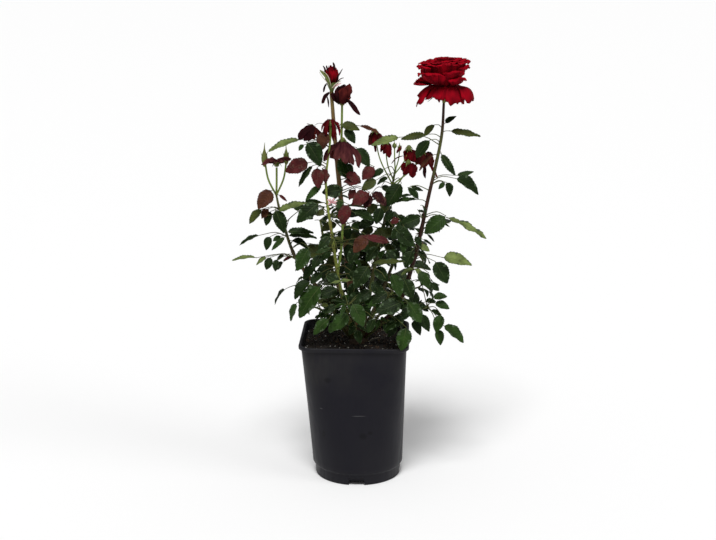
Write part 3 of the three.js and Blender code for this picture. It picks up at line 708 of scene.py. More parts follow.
# The last number is the height in metres under which these petals get painted shade
RED_PETAL = Petal("velvet_red_petal", (0.36, 0.0006, 0.009), (0.07, 0.0002, 0.003), 0.02, 0.75, 0.69)
BUD_PETAL = Petal("deep_red_bud_petal", (0.22, 0.0008, 0.006), (0.02, 0.0002, 0.001), 0.02, 0.75)
PINK_PETAL = Petal("dry_pink_petal", (0.8, 0.58, 0.58), (0.5, 0.22, 0.24), 0.0, 0.8)
MAROON_PETAL = Petal("faded_maroon_petal", (0.1, 0.014, 0.011), (0.03, 0.003, 0.004), 0.04, 0.78)
DARK_PETAL = Petal("withered_dark_petal", (0.028, 0.004, 0.006), (0.008, 0.0015, 0.002), 0.05, 0.7)
WINE_PETAL = Petal("faded_red_petal", (0.135, 0.004, 0.007), (0.03, 0.001, 0.002), 0.04, 0.75)
PLUM_PETAL = Petal("faded_plum_petal", (0.115, 0.032, 0.03), (0.032, 0.006, 0.009), 0.04, 0.75)
PAPER = Paper("studio_floor")


# ------------------------------------------------------------------ meshes


def unit(vector: Array) -> Array:
    """Return a vector of length one."""
    return vector / max(float(np.linalg.norm(vector)), 1e-12)


def heading(degrees: float) -> Array:
    """Return the level direction of a bearing."""
    return np.array([math.cos(math.radians(degrees)), math.sin(math.radians(degrees)), 0.0])


def swung(first: Array, second: Array, turn: float) -> Array:
    """Return a direction turned towards another that is square to it."""
    return first * math.cos(turn) + second * math.sin(turn)


def stand(name: str, data: Any) -> Piece:
    """Put a mesh, light or camera in the scene.

    Args:
        name: The object's name.
        data: What it shows.

    Returns:
        The object.
    """
    made = bpy.data.objects.new(name, data)
    bpy.context.scene.collection.objects.link(made)
    return made


def carry(mesh: bpy.types.Mesh, name: str, kind: str, values: Any) -> None:
    """Store a value at each point of a mesh.

    Args:
        mesh: The mesh.
        name: The value's name.
        kind: Its data type.
        values: The values, in the order of the points.
    """
    layer = mesh.attributes.new(name, kind, "POINT")
    exact = np.asarray(values, np.int32 if kind == "INT" else np.float32)
    layer.data.foreach_set("vector" if kind == "FLOAT_VECTOR" else "value", exact.ravel())


class Draft:
    """Points and faces gathered for one mesh, in millimetres."""

    def __init__(self) -> None:
        """Start empty."""
        self.points: list[Array] = []
        self.flats: list[Array] = []
        self.ages: list[Array] = []
        self.faces: list[Face] = []
        self.slots: list[int] = []
        self.count = 0

    def add(
        self, points: Array, faces: Iterable[Face], flat: Array | None = None,
        age: Any = 0.0, slot: int = 0,
    ) -> None:
        """Add a shape.

        Args:
            points: Its points.
            faces: Its faces, by point number.
            flat: Its map, two numbers a point.
            age: Its age from 0 to 1, one number or one a point.
            slot: Its material's place in the list.
        """
        size = len(points)
        self.points.append(np.asarray(points, float))
        self.flats.append(np.zeros((size, 2)) if flat is None else np.asarray(flat, float))
        self.ages.append(np.full(size, age, float) if np.isscalar(age) else np.asarray(age))
        made = [tuple(corner + self.count for corner in face) for face in faces]
        self.faces.extend(made)
        self.slots.extend([slot] * len(made))
        self.count += size

    def mesh(self, name: str, finishes: Sequence[Finish], smooth: bool = True) -> Piece:
        """Make the object.

        Args:
            name: Its name.
            finishes: Its materials, in slot order.
            smooth: Whether its faces are shaded as one surface.

        Returns:
            The object, linked to the scene.
        """
        mesh = bpy.data.meshes.new(name)
        mesh.from_pydata((np.concatenate(self.points) * MM).tolist(), [], self.faces)
        corners = np.zeros(len(mesh.loops), np.int32)
        mesh.loops.foreach_get("vertex_index", corners)
        layer = mesh.uv_layers.new(name="UVMap")
        layer.data.foreach_set("uv", np.concatenate(self.flats)[corners].astype(np.float32).ravel())
        carry(mesh, "age", "FLOAT", np.concatenate(self.ages))
        for finish in finishes:
            mesh.materials.append(finish.material())
        mesh.polygons.foreach_set("material_index", self.slots)
        mesh.polygons.foreach_set("use_smooth", [smooth] * len(self.faces))
        mesh.validate()
        return stand(name, mesh)


def net(rows: int, columns: int, closed: bool = False) -> list[Face]:
    """Lay faces over a grid of points given row by row.

    Args:
        rows: Rows of points.
        columns: Points in a row.
        closed: Whether each row joins its own start.

    Returns:
        The faces, which face outwards where rows go up and points go anticlockwise.
    """
    faces = []
    for row in range(rows - 1):
        for column in range(columns if closed else columns - 1):
            near = row * columns + column
            side = row * columns + (column + 1) % columns
            faces.append((near, side, side + columns, near + columns))
    return faces


def capped(rows: int, sides: int) -> list[Face]:
    """Lay faces over closed rows of points and close both ends.

    Args:
        rows: Rows of points.
        sides: Points in a row.

    Returns:
        The faces; those of the ends meet at two more points, given after the rows.
    """
    foot, last = rows * sides, (rows - 1) * sides
    faces = net(rows, sides, True)
    for side in range(sides):
        beside = (side + 1) % sides
        faces += [(foot, beside, side), (foot + 1, last + side, last + beside)]
    return faces


def flipped(faces: Iterable[Face]) -> list[Face]:
    """Turn faces to look the other way."""
    return [face[::-1] for face in faces]


def turned(profile: Sequence[tuple[float, float]], sides: int) -> tuple[Array, list[Face]]:
    """Turn a profile about the upright axis.

    Args:
        profile: Radius and height, from the foot outwards and up; it starts and ends on the axis.
        sides: Points round each ring.

    Returns:
        The points and faces of the closed form.
    """
    angles = np.arange(sides) / sides * TAU
    rings = [
        np.stack([r * np.cos(angles), r * np.sin(angles), np.full(sides, z)], 1)
        for r, z in profile[1:-1]
    ]
    points = np.concatenate([*rings, [[0, 0, profile[0][1]]], [[0, 0, profile[-1][1]]]])
    return points, capped(len(rings), sides)


def frames_along(points: Array) -> tuple[Array, Array, Array]:
    """Carry a pair of side directions along a line without twisting it.

    Args:
        points: The line's points.

    Returns:
        The directions along, beside and above at each point.
    """
    along = np.gradient(points, axis=0)
    along /= np.linalg.norm(along, axis=1)[:, None]
    beside = [unit(np.cross(along[0], [0.3, 0.9, 0.31]))]
    for direction in along[1:]:
        last = beside[-1]
        beside.append(unit(last - direction * float(last @ direction)))
    side = np.array(beside)
    return along, side, np.cross(along, side)


def tube(points: Array, radii: Array, sides: int) -> tuple[Array, list[Face]]:
    """Wrap a line in a closed round skin.

    Args:
        points: The line's points.
        radii: The radius at each, or one for each point and side.
        sides: Points round it.

    Returns:
        The points and faces.
    """
    _, side, above = frames_along(points)
    angles = np.arange(sides) / sides * TAU
    reach = np.broadcast_to(np.asarray(radii).reshape(len(points), -1), (len(points), sides))
    ring = (
        side[:, None] * np.cos(angles)[None, :, None]
        + above[:, None] * np.sin(angles)[None, :, None]
    )
    skin = points[:, None] + ring * reach[..., None]
    made = np.concatenate([skin.reshape(-1, 3), points[:1], points[-1:]])
    return made, capped(len(points), sides)


def finished(piece: Piece, nodes: Iterable[str] = ()) -> Piece:
    """Hand a finished piece to the frame and report it.

    Args:
        piece: The object.
        nodes: The frame's nodes that it stands for.

    Returns:
        The object.
    """
    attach(piece, "root")
    if nodes:
        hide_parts(*nodes)
    triangles = sum(len(face.vertices) - 2 for face in piece.data.polygons)
    log.info("%s: %d triangles", piece.name, triangles)
    return piece


# ------------------------------------------------------------------ the growth rule


class Dice:
    """One number after another from a whole-number seed, each from 0 to 1."""

    def __init__(self, seed: int) -> None:
        """Set the first state from the seed."""
        self.state = (seed * 2654435761 + 12345) % 2**32

    def __call__(self) -> float:
        """Return the next number."""
        self.state = (self.state * 1664525 + 1013904223) % 2**32
        return self.state / 2**32

    def between(self, low: float, high: float) -> float:
        """Return the next number, between two limits."""
        return low + (high - low) * self()


class Curve:
    """A smooth line through points, by the same formula as the solids' limbs."""

    def __init__(self, points: Iterable[Sequence[float]]) -> None:
        """Keep the points and add one beyond each end."""
        inner = [np.array(point, float) for point in points]
        self.spans = len(inner) - 1
        self.knots = [2 * inner[0] - inner[1], *inner, 2 * inner[-1] - inner[-2]]

    def at(self, place: float) -> Array:
        """Return the point at a place from 0 to 1."""
        reach = min(max(place, 0.0), 1.0) * self.spans
        index = min(int(reach), self.spans - 1)
        part = reach - index
        before, start, end, after = self.knots[index : index + 4]
        leave, arrive = 0.5 * (end - before), 0.5 * (after - start)
        square = -3 * start + 3 * end - 2 * leave - arrive
        cube = 2 * start - 2 * end + leave + arrive
        return start + leave * part + square * part**2 + cube * part**3

    def line(self, count: int, start: float = 0.0, stop: float = 1.0) -> Array:
        """Return evenly placed points between two places."""
        return np.array([self.at(place) for place in np.linspace(start, stop, count)])

    def length(self) -> float:
        """Return the length of the whole line."""
        return float(np.linalg.norm(np.diff(self.line(120), axis=0), axis=1).sum())


@dataclass(frozen=True)
class Fill:
    """Leaves that the rule adds between two places on a cane."""

    count: int
    start: float
    stop: float
    bearing: float
    rise: float
    reach: tuple[float, float]


@dataclass(frozen=True)
class Cane:
    """One cane: its curve from the union to its tip, its taper and its leaves.

    A leaf is its place on the curve, bearing, rise, reach and number of leaflets.
    """

    name: str
    light: float
    seed: int
    foot: float
    tip: float
    path: tuple[tuple[float, float, float], ...]
    fill: Fill
    join: float = 0.0
    leaves: tuple[tuple[float, ...], ...] = ()

    def curve(self) -> Curve:
        """Return the cane's middle line."""
        return Curve(self.path)

    def radius(self, place: float) -> float:
        """Return the radius at a place from 0 to 1."""
        return self.foot + (self.tip - self.foot) * place**0.8

    def twig(self, place: float, end: Sequence[float]) -> Curve:
        """Return the line of a side twig.

        Args:
            place: Where on the cane it starts.
            end: Where it ends.

        Returns:
            A line that swings outwards before it rises.
        """
        start, tip = self.curve().at(place), np.array(end, float)
        bend = (start + tip) / 2
        bend[:2] += 0.22 * (tip - start)[:2]
        return Curve([start, bend, tip])


@dataclass
class Leaf:
    """A compound leaf: an arching stalk that carries its leaflets."""

    root: Array
    bearing: float
    rise: float
    leaflets: int
    blade: float
    droop: float
    roll: float
    stalk: float

    @classmethod
    def grown(cls, cane: Cane, row: Sequence[float], roll: Dice) -> "Leaf":
        """Work a leaf out from its row.

        Args:
            cane: The cane it grows from.
            row: Its place, bearing, rise, reach and number of leaflets.
            roll: The dice of that leaf.

        Returns:
            The leaf, its face turned to the light on its side of the plant.
        """
        place, bearing, rise, reach, leaflets = row
        shortest, longest = 20.0, 50.0
        blade = min(max((0.76 if leaflets == 1 else 0.46) * reach, shortest), longest)
        away = math.radians(bearing - cane.light)
        droop = 14 + 18 * roll() + 26 * max(math.cos(away), 0.0)
        turn = 44 * math.sin(away) + 30 * (roll() - 0.5)
        stalk = max(reach - blade + 2, 6.0)
        root = cane.curve().at(place)
        return cls(root, bearing, rise, int(leaflets), blade, droop, turn, stalk)

    def frame(self, share: float) -> tuple[Array, Array, Array, Array]:
        """Find a place on the arching stalk.

        Args:
            share: How far along it, from 0 to 1.

        Returns:
            The point and the directions along, beside and above there.
        """
        turn = math.radians(self.droop)
        first = math.radians(self.rise) + turn / 2
        angle = first - turn * share
        scale = self.stalk / turn
        out = heading(self.bearing)
        point = self.root + out * scale * (math.sin(first) - math.sin(angle))
        point = point + UP * scale * (math.cos(angle) - math.cos(first))
        along = swung(out, UP, angle)
        flat = np.array([-out[1], out[0], 0.0])
        above = np.cross(along, flat)
        roll = math.radians(self.roll)
        return point, along, swung(flat, above, roll), swung(above, -flat, roll)

    def blades(self, roll: Dice) -> list[tuple[Array, Array, Array, float]]:
        """Place the leaflets: pairs along the stalk, then one at its tip.

        Args:
            roll: The dice of this leaf.

        Returns:
            The foot, direction, face and length of each.
        """
        found = []
        pairs = (self.leaflets - 1) // 2
        for pair in range(pairs):
            share = 0.6 if pairs == 1 else 0.36 + 0.38 * pair / (pairs - 1)
            size = self.blade * (0.86 if pairs == 1 else 0.72 + 0.14 * pair)
            size *= 0.96 + 0.08 * roll()
            point, along, side, above = self.frame(share)
            for hand in (1, -1):
                spread = math.radians(68 - 9 * pair + 8 * (roll() - 0.5))
                dip = math.radians(10 + 20 * roll())
                flat = swung(along, side * hand, spread)
                found.append((point, swung(flat, -above, dip), swung(above, flat, dip), size))
        point, along, _, above = self.frame(1)
        dip = math.radians(4 + 14 * roll())
        found.append((point, swung(along, -above, dip), swung(above, along, dip), self.blade))
        return found


def rows_of(cane: Cane) -> list[tuple[tuple[float, ...], int]]:
    """List every leaf of a cane's solid mass.

    Args:
        cane: The cane.

    Returns:
        Each leaf's row and seed: the stated ones, then those of the fill, two fifths of a
        circle apart.
    """
    rows = [(row, cane.seed * 100 + index) for index, row in enumerate(cane.leaves)]
    fill = cane.fill
    for index in range(fill.count):
        seed = cane.seed * 100 + 50 + index
        roll = Dice(seed + 7000)
        place = fill.start + (fill.stop - fill.start) * index / max(fill.count - 1, 1)
        bearing = fill.bearing + 144 * index + 40 * (roll() - 0.5)
        rise = fill.rise + 30 * (roll() - 0.5)
        reach = fill.reach[0] + (fill.reach[1] - fill.reach[0]) * roll()
        leaflets = 3 if roll() < 0.4 else 5
        rows.append(((min(place, 1.0), bearing, rise, reach, leaflets), seed))
    return rows


CANES: tuple[Cane, ...] = (
    Cane(
        "right", light=-70, seed=11, foot=5.6, tip=2.3, join=0.36,
        path=(
            (9, -5, 254), (66, -10, 304), (97, -12, 392), (120, -11, 498), (141, -15, 602),
            (145, -15, 668),
        ),
        fill=Fill(3, 0.415, 0.505, 62, 22, (70, 92)),
    ),
    Cane(
        "left", light=-110, seed=23, foot=4.8, tip=1.9, join=0.27,
        path=((-12, -3, 252), (-73, -13, 345), (-110, -14, 400), (-132, -15, 471), (-140, -15, 507)),
        fill=Fill(3, 0.36, 0.68, 96, 26, (66, 96)),
    ),
    Cane(
        "green", light=-100, seed=37, foot=4.6, tip=1.9, join=0.31,
        path=((-8, -9, 256), (-29, -26, 341), (-43, -37, 439), (-53, -37, 526), (-46, -32, 600)),
        fill=Fill(3, 0.36, 0.56, 200, 12, (64, 84)),
    ),
    Cane(
        "bud", light=-80, seed=41, foot=5.2, tip=2.5, join=0.22,
        path=((-5, 8, 260), (-18, 9, 380), (-35, 9, 545), (-46, 8, 681)),
        fill=Fill(5, 0.27, 0.52, 70, 20, (72, 100)),
    ),
    Cane(
        "middle", light=-75, seed=53, foot=4.4, tip=1.7, join=0.3,
        path=((8, 7, 258), (32, 25, 390), (51, 32, 475), (64, 34, 544)),
        fill=Fill(3, 0.36, 0.7, 20, 18, (70, 98)),
    ),
    Cane(
        "back_left", light=120, seed=61, foot=4.2, tip=1.6, join=0.3,
        path=((-8, 8, 256), (-34, 44, 320), (-60, 84, 384), (-72, 106, 436)),
        fill=Fill(5, 0.4, 1, 100, 22, (74, 100)),
    ),
    Cane(
        "back_right", light=60, seed=73, foot=4.4, tip=1.6, join=0.3,
        path=((9, 6, 255), (40, 42, 318), (68, 80, 386), (84, 100, 440)),
        fill=Fill(5, 0.4, 1, 30, 22, (74, 100)),
    ),
    Cane(
        "back", light=90, seed=83, foot=4, tip=1.5, join=0.3,
        path=((0, 11, 257), (4, 54, 316), (2, 96, 372), (-4, 120, 410)),
        fill=Fill(5, 0.4, 1, 60, 16, (68, 92)),
    ),
)

SHOOTS: tuple[Cane, ...] = (
    Cane(
        "low_front", light=-90, seed=101, foot=3, tip=1.5,
        path=((-3, -8, 250), (-7, -40, 290), (-12, -66, 318), (-14, -84, 330)),
        fill=Fill(2, 0.5, 0.8, 10, 44, (62, 84)),
    ),
    Cane(
        "low_front_right", light=-60, seed=113, foot=3.2, tip=1.5,
        path=((6, -8, 251), (26, -36, 296), (48, -58, 332), (62, -72, 350)),
        fill=Fill(2, 0.5, 0.8, 170, 30, (62, 84)),
    ),
    Cane(
        "low_right", light=-40, seed=127, foot=3.2, tip=1.5,
        path=((11, -2, 248), (50, -14, 282), (92, -24, 304), (124, -26, 312)),
        fill=Fill(2, 0.5, 0.85, 60, 34, (58, 80)),
    ),
    Cane(
        "low_back_right", light=30, seed=131, foot=3, tip=1.4,
        path=((9, 5, 248), (44, 30, 290), (82, 48, 318), (108, 58, 326)),
        fill=Fill(4, 0.4, 1, -30, 4, (62, 84)),
    ),
    Cane(
        "low_back", light=90, seed=139, foot=3, tip=1.4,
        path=((1, 10, 248), (4, 46, 290), (8, 80, 318), (12, 102, 328)),
        fill=Fill(4, 0.4, 1, 90, 2, (62, 86)),
    ),
    Cane(
        "low_back_left", light=150, seed=149, foot=3, tip=1.4,
        path=((-9, 6, 248), (-42, 34, 290), (-74, 56, 318), (-94, 68, 326)),
        fill=Fill(4, 0.4, 1, 150, 4, (60, 82)),
    ),
    Cane(
        "low_left", light=200, seed=151, foot=2.8, tip=1.4,
        path=((-12, 0, 247), (-40, -2, 280), (-66, -5, 300), (-82, -7, 306)),
        fill=Fill(2, 0.65, 1, 120, 16, (52, 70)),
    ),
    Cane(
        "low_front_left", light=-130, seed=163, foot=3, tip=1.4,
        path=((-8, -8, 249), (-32, -34, 294), (-58, -58, 326), (-72, -70, 336)),
        fill=Fill(2, 0.5, 1, -100, 26, (60, 82)),
    ),
)

# Side twigs: cane, place on its curve, end point and radius there
TWIGS: tuple[tuple[str, float, tuple[int, int, int], float], ...] = (
    ("left", 0.985, (-157, -24, 561), 1.6),
    ("left", 0.985, (-138, -20, 554), 1.8),
    ("left", 0.985, (-122, -13, 563), 1.6),
    ("green", 0.985, (-45, -31, 632), 2.0),
    ("green", 0.33, (-25, -31, 460), 2.1),
    ("bud", 0.62, (-27, 4, 668), 1.9),
    ("bud", 0.74, (-25, -13, 603), 1.3),
    ("middle", 0.9, (47, 28, 577), 1),
    ("middle", 0.985, (62, 34, 581), 1.1),
    ("middle", 0.985, (71, 37, 577), 0.9),
    ("middle", 0.95, (87, 44, 582), 0.9),
    ("middle", 0.8, (86, 19, 563), 0.9),
    ("middle", 0.86, (110, 48, 572), 0.9),
    ("middle", 0.86, (28, 21, 612), 0.9),
    ("green", 0.97, (-79, -33, 626), 0.9),
)

# Hips and tight buds at twig ends: cane, centre, length and radius
HIPS: tuple[tuple[str, tuple[int, int, int], float, float], ...] = (
    ("left", (-158, -25, 577), 42, 5.2),
    ("left", (-122, -13, 576), 36, 4.8),
    ("middle", (62, 34, 586), 13, 4),
    ("middle", (71, 37, 582), 15, 3.6),
)


# ------------------------------------------------------------------ pot and mix


@dataclass
class Pot:
    """A blow-moulded nursery pot: round at the foot, a rounded square at the rim."""

    height: float = 255.0
    lip: float = 95.0
    lip_depth: float = 7.0
    wall_top: float = 91.0
    wall_foot: float = 80.0
    corner_top: float = 22.0
    foot_radius: float = 75.5
    foot_height: float = 20.0
    wall: float = 2.0
    pad_radius: float = 58.0
    groove_height: float = 9.0
    lean: float = -5.0
    notch: tuple[float, float] = (27.0, 8.4)
    drains: int = 6
    drain_radius: float = 4.0
    drain_ring: float = 64.5
    scar: tuple[float, float, float] = (-2.5, 131.0, 10.5)
    sides: int = 144

    def wall_at(self, height: float) -> float:
        """Return the half width of the wall's outside at a height."""
        share = (height - self.foot_height) / (self.height - self.foot_height)
        return self.wall_foot + (self.wall_top - self.wall_foot) * min(max(share, 0.0), 1.0)

    def formed(self, points: Array) -> Array:
        """Press round rings into the pot's own section.

        Args:
            points: Points turned about the upright axis.

        Returns:
            The points in place, squarer towards the rim and leaning as the pot does.
        """
        x, y, z = points.T
        share = np.clip((z - self.foot_height) / (self.height - self.foot_height), 0, 1)
        half = self.wall_foot + (self.wall_top - self.wall_foot) * share
        corner = half + (self.corner_top - half) * share**1.15
        angle = np.arctan2(y, x)
        angle = angle + 0.11 * np.sin(4 * angle)
        c, s = np.abs(np.cos(angle)), np.abs(np.sin(angle))
        near, far = np.maximum(c, s), np.minimum(c, s)
        inner = half - corner
        along = inner * (near + far)
        rounded = along + np.sqrt(np.maximum(corner**2 - 2 * inner**2 + along**2, 0))
        stretch = np.where(half * far / near <= inner, half / near, rounded) / half
        radius = np.hypot(x, y) * stretch
        shift = self.lean * z / self.height
        return np.stack([radius * np.cos(angle) + shift, radius * np.sin(angle), z], 1)

    def profile(self) -> list[tuple[float, float]]:
        """Return the section from the middle of the underside round the rim to the inside."""
        under = self.height - self.lip_depth
        skirt = self.foot_radius - 4.5
        rise = [(self.wall_at(z), z) for z in np.linspace(self.foot_height + 3, under - 3, 26)]
        rim = [
            (self.lip - 1.5 + 1.5 * math.cos(turn), self.height - 1.5 + 1.5 * math.sin(turn))
            for turn in np.linspace(0, math.pi / 2, 5)
        ]
        inside = [
            (self.wall_at(z) - self.wall, z) for z in np.linspace(under - 4, self.foot_height + 4, 14)
        ]
        return [
            (0, 0), (self.pad_radius - 0.6, 0), (self.pad_radius, 0.6),
            (self.pad_radius + 1.5, self.groove_height), (skirt, self.groove_height),
            (skirt + 0.4, 0.5), (skirt + 1, 0), (self.foot_radius - 0.8, 0),
            (self.foot_radius, 0.8), (self.foot_radius + 0.4, self.foot_height - 3),
            (self.foot_radius + 1.2, self.foot_height - 1.4),
            (self.wall_at(0) - 0.8, self.foot_height + 1.2), *rise,
            (self.wall_at(under) - 0.3, under - 1), (self.wall_at(under) + 0.5, under),
            (self.lip - 0.7, under + 0.6), (self.lip, under + 1.4), *rim,
            (self.lip - 3.6, self.height), (self.lip - 4.4, self.height - 0.7),
            (self.lip - 5.2, self.height - 5), *inside,
            (skirt, self.groove_height + self.wall),
            (self.pad_radius - 1, self.groove_height + self.wall),
            (self.pad_radius - 2.5, self.wall), (0, self.wall),
        ]

    def cutters(self) -> Piece:
        """Return one object of the foot's notches and the drain holes."""
        draft = Draft()
        width, height = self.notch
        for quarter in range(4):
            turn = heading(90.0 * quarter)
            side = heading(90.0 * quarter + 90)
            arch = [(-0.5, -1), (0.5, -1), (0.5, 0.8), (0.44, 1), (-0.44, 1), (-0.5, 0.8)]
            ring = [side * width * a + height * b * UP for a, b in arch]
            points = [turn * r + p for r in (self.foot_radius - 8, self.foot_radius + 6) for p in ring]
            faces = [tuple(range(5, -1, -1)), tuple(range(6, 12))]
            faces += [(i, (i + 1) % 6, 6 + (i + 1) % 6, 6 + i) for i in range(6)]
            draft.add(np.array(points), faces)
        for drain in range(self.drains):
            middle = heading(360.0 * (drain + 0.5) / self.drains) * self.drain_ring
            radius = self.drain_radius
            points, faces = turned([(0, 4), (radius, 4), (radius, 15), (0, 15)], 20)
            draft.add(points + middle, faces)
        return draft.mesh("pot_cutters", [POT_PLASTIC])

    def mark(self, draft: Draft) -> None:
        """Add the low scar of the mould's joint on the front wall.

        Args:
            draft: The pot's mesh.
        """
        span = np.linspace(-1, 1, 15)
        middle, height, half = self.scar
        front = -self.wall_at(height)
        for row, swell in ((0.0, 0.55), (2.6, 0.25)):
            line = np.stack(
                [middle + half * span, np.full(15, front - 0.05), height + row + 0.5 * span**2], 1
            )
            points, faces = tube(line, swell * (1.02 - span**2) ** 0.5, 6)
            draft.add(points, faces)

    def build(self) -> Piece:
        """Make the pot.

        Returns:
            The finished piece.
        """
        points, faces = turned(self.profile(), self.sides)
        draft = Draft()
        draft.add(self.formed(points), faces)
        pot = draft.mesh("pot_shell", [POT_PLASTIC])
        cutters = self.cutters()
        cut = pot.modifiers.new("openings", "BOOLEAN")
        cut.operation, cut.solver, cut.object = "DIFFERENCE", "EXACT", cutters
        settle(pot)
        bpy.data.objects.remove(cutters)
        scar = Draft()
        self.mark(scar)
        mark = scar.mesh("pot_mould_mark", [POT_PLASTIC])
        finished(mark)
        return finished(pot, ["pot"])


@dataclass
class PottingMix:
    """Damp bark and peat mix with white grit, just under the rim."""

    pot: Pot
    level: float = 240.0
    clear: float = 0.4
    bumps: float = 2.2
    rings: int = 34
    sides: int = 120
    crumbs: float = 42000.0
    chips: float = 11000.0
    grit: float = 5200.0

    def rise(self, x: Array, y: Array) -> Array:
        """Return the height of the lumps over the mix's level."""
        waves = (
            np.sin(0.11 * x + 1.3) * np.cos(0.09 * y - 0.4)
            + 0.7 * np.sin(0.23 * x - 0.17 * y + 2.1)
            + 0.5 * np.cos(0.31 * y + 0.12 * x)
            + 0.35 * np.sin(0.71 * x + 0.3) * np.sin(0.66 * y + 1.1)
        )
        return waves * self.bumps * 0.5

    def build(self) -> list[Piece]:
        """Make the bed of mix and what lies loose on it.

        Returns:
            The finished pieces.
        """
        inset = self.pot.wall + self.clear
        edge = self.pot.wall_at(self.level) - inset
        floor = self.pot.wall + self.clear
        wide = self.pot.wall_at(self.pot.foot_height + 4) - inset
        side = [(self.pot.wall_at(z) - inset, z) for z in (60, 110, 160, 205)]
        top = [(edge * (1 - step / self.rings), self.level) for step in range(self.rings)]
        profile = [
            (0, floor), (55, floor), (56.7, 11.4), (71, 11.4), (wide, self.pot.foot_height + 4),
            *side, (edge, self.level - 6), *top, (0, self.level),
        ]
        points, faces = turned(profile, self.sides)
        high = points[:, 2] > self.level - 1
        reach = np.hypot(points[:, 0], points[:, 1])
        formed = self.pot.formed(points)
        calm = np.clip((reach - 14) / 12, 0, 1) * high
        formed[:, 2] += self.rise(points[:, 0], points[:, 1]) * calm
        draft = Draft()
        draft.add(formed, faces)
        bed = draft.mesh("mix_bed", [PEAT])
        upper = Draft()
        keep = [face for face in faces if all(high[corner] for corner in face)]
        upper.add(formed, keep)
        pieces = [finished(bed, ["soil"])]
        sorts = (
            ("mix_crumbs", PEAT, self.crumbs, (0.0010, 0.0026), (1, 0.85, 0.7), 3),
            ("mix_bark_chips", CHIPS, self.chips, (0.0016, 0.0052), (1, 0.5, 0.28), 17),
            ("mix_perlite", GRIT, self.grit, (0.0004, 0.0019), (1, 0.9, 0.8), 29),
        )
        for name, finish, density, sizes, flat, seed in sorts:
            top_sheet = upper.mesh(name, [finish])
            chip = crumb_shape(name + "_shape", flat, seed)
            loose_recipe().run(
                top_sheet, Crumb=chip, Crumbs_a_square_metre=density, Smallest=sizes[0],
                Largest=sizes[1], Seed=seed, Finish=finish.material(),
            )
            bpy.data.objects.remove(chip)
            pieces.append(finished(top_sheet))
        return pieces


def crumb_shape(name: str, flat: Sequence[float], seed: int) -> Piece:
    """Make one rough crumb, two units across, for the loose bits to repeat.

    Args:
        name: The object's name.
        flat: Its size along each axis.
        seed: The seed of its knocks.

    Returns:
        The object.
    """
    roll = Dice(seed)
    profile = [(0, -1), (0.75, -0.7), (1, 0.0), (0.7, 0.65), (0, 0.95)]
    points, faces = turned(profile, 6)
    points *= np.array([[roll.between(0.72, 1.15)] for _ in points])
    draft = Draft()
    draft.add(points * np.array(flat) / MM, faces)
    return draft.mesh(name, [PEAT], smooth=False)


def loose_recipe() -> Recipe:
    """Return the recipe that strews crumbs of random size and turn over a surface."""
    recipe = Recipe("strewn_crumbs")
    bench = recipe.bench
    crumb = recipe.ask("Crumb", "Object")
    density = recipe.ask("Crumbs a square metre", "Float", 1000.0)
    small = recipe.ask("Smallest", "Float", 0.001)
    large = recipe.ask("Largest", "Float", 0.002)
    seed = recipe.ask("Seed", "Int", 1)
    finish = recipe.ask("Finish", "Material")
    spots = bench.node(
        "GeometryNodeDistributePointsOnFaces",
        inputs={"Mesh": bench.pick(recipe.start.outputs, "Geometry"), "Density": density, "Seed": seed},
    )
    shape = bench.node("GeometryNodeObjectInfo", inputs={"Object": crumb})
    turn = bench.node("FunctionNodeRandomValue", {"data_type": "FLOAT_VECTOR"}, {"Seed": seed})
    turn.inputs[1].default_value = (TAU, TAU, TAU)
    size = bench.node(
        "FunctionNodeRandomValue", {"data_type": "FLOAT"}, {"Min": small, "Max": large, "Seed": seed}
    )
    placed = bench.node(
        "GeometryNodeInstanceOnPoints",
        inputs={
            "Points": bench.out(spots, "Points"),
            "Instance": bench.out(shape, "Geometry"),
            "Rotation": turn.outputs[0],
            "Scale": bench.out(size, "Value"),
        },
    )
    return recipe.close(placed, finish)


# ------------------------------------------------------------------ canes


class CaneLook(Enum):
    """The bark that a cane has by its age and its side of the plant."""

    RIPE = Bark("cane_brown_red", (0.065, 0.075, 0.02), (0.033, 0.013, 0.009), (0.06, 0.012, 0.008))
    GREEN = Bark("cane_light_green", (0.2, 0.25, 0.045), (0.15, 0.15, 0.035), (0.14, 0.08, 0.025))
    TAN = Bark("cane_tan", (0.18, 0.13, 0.045), (0.14, 0.065, 0.03), (0.11, 0.035, 0.02))
    LEAFY = Bark("cane_leaf_green", (0.11, 0.15, 0.04), (0.055, 0.045, 0.018), (0.07, 0.025, 0.014))


# Each named cane's bark, its age at four places from foot to tip, and how much fuller it is
LOOKS: dict[str, tuple[CaneLook, tuple[float, ...], float]] = {
    "right": (CaneLook.RIPE, (0.95, 1.0, 0.3, 1.6), 0.92),
    "left": (CaneLook.LEAFY, (1.0, 0.95, 0.6, 0.2), 0.88),
    "green": (CaneLook.GREEN, (0.5, 0.3, 0.1, 0.0), 0.82),
    "bud": (CaneLook.TAN, (1.0, 0.7, 0.5, 0.3), 1.2),
    "middle": (CaneLook.LEAFY, (0.8, 0.5, 0.3, 0.1), 1.0),
}


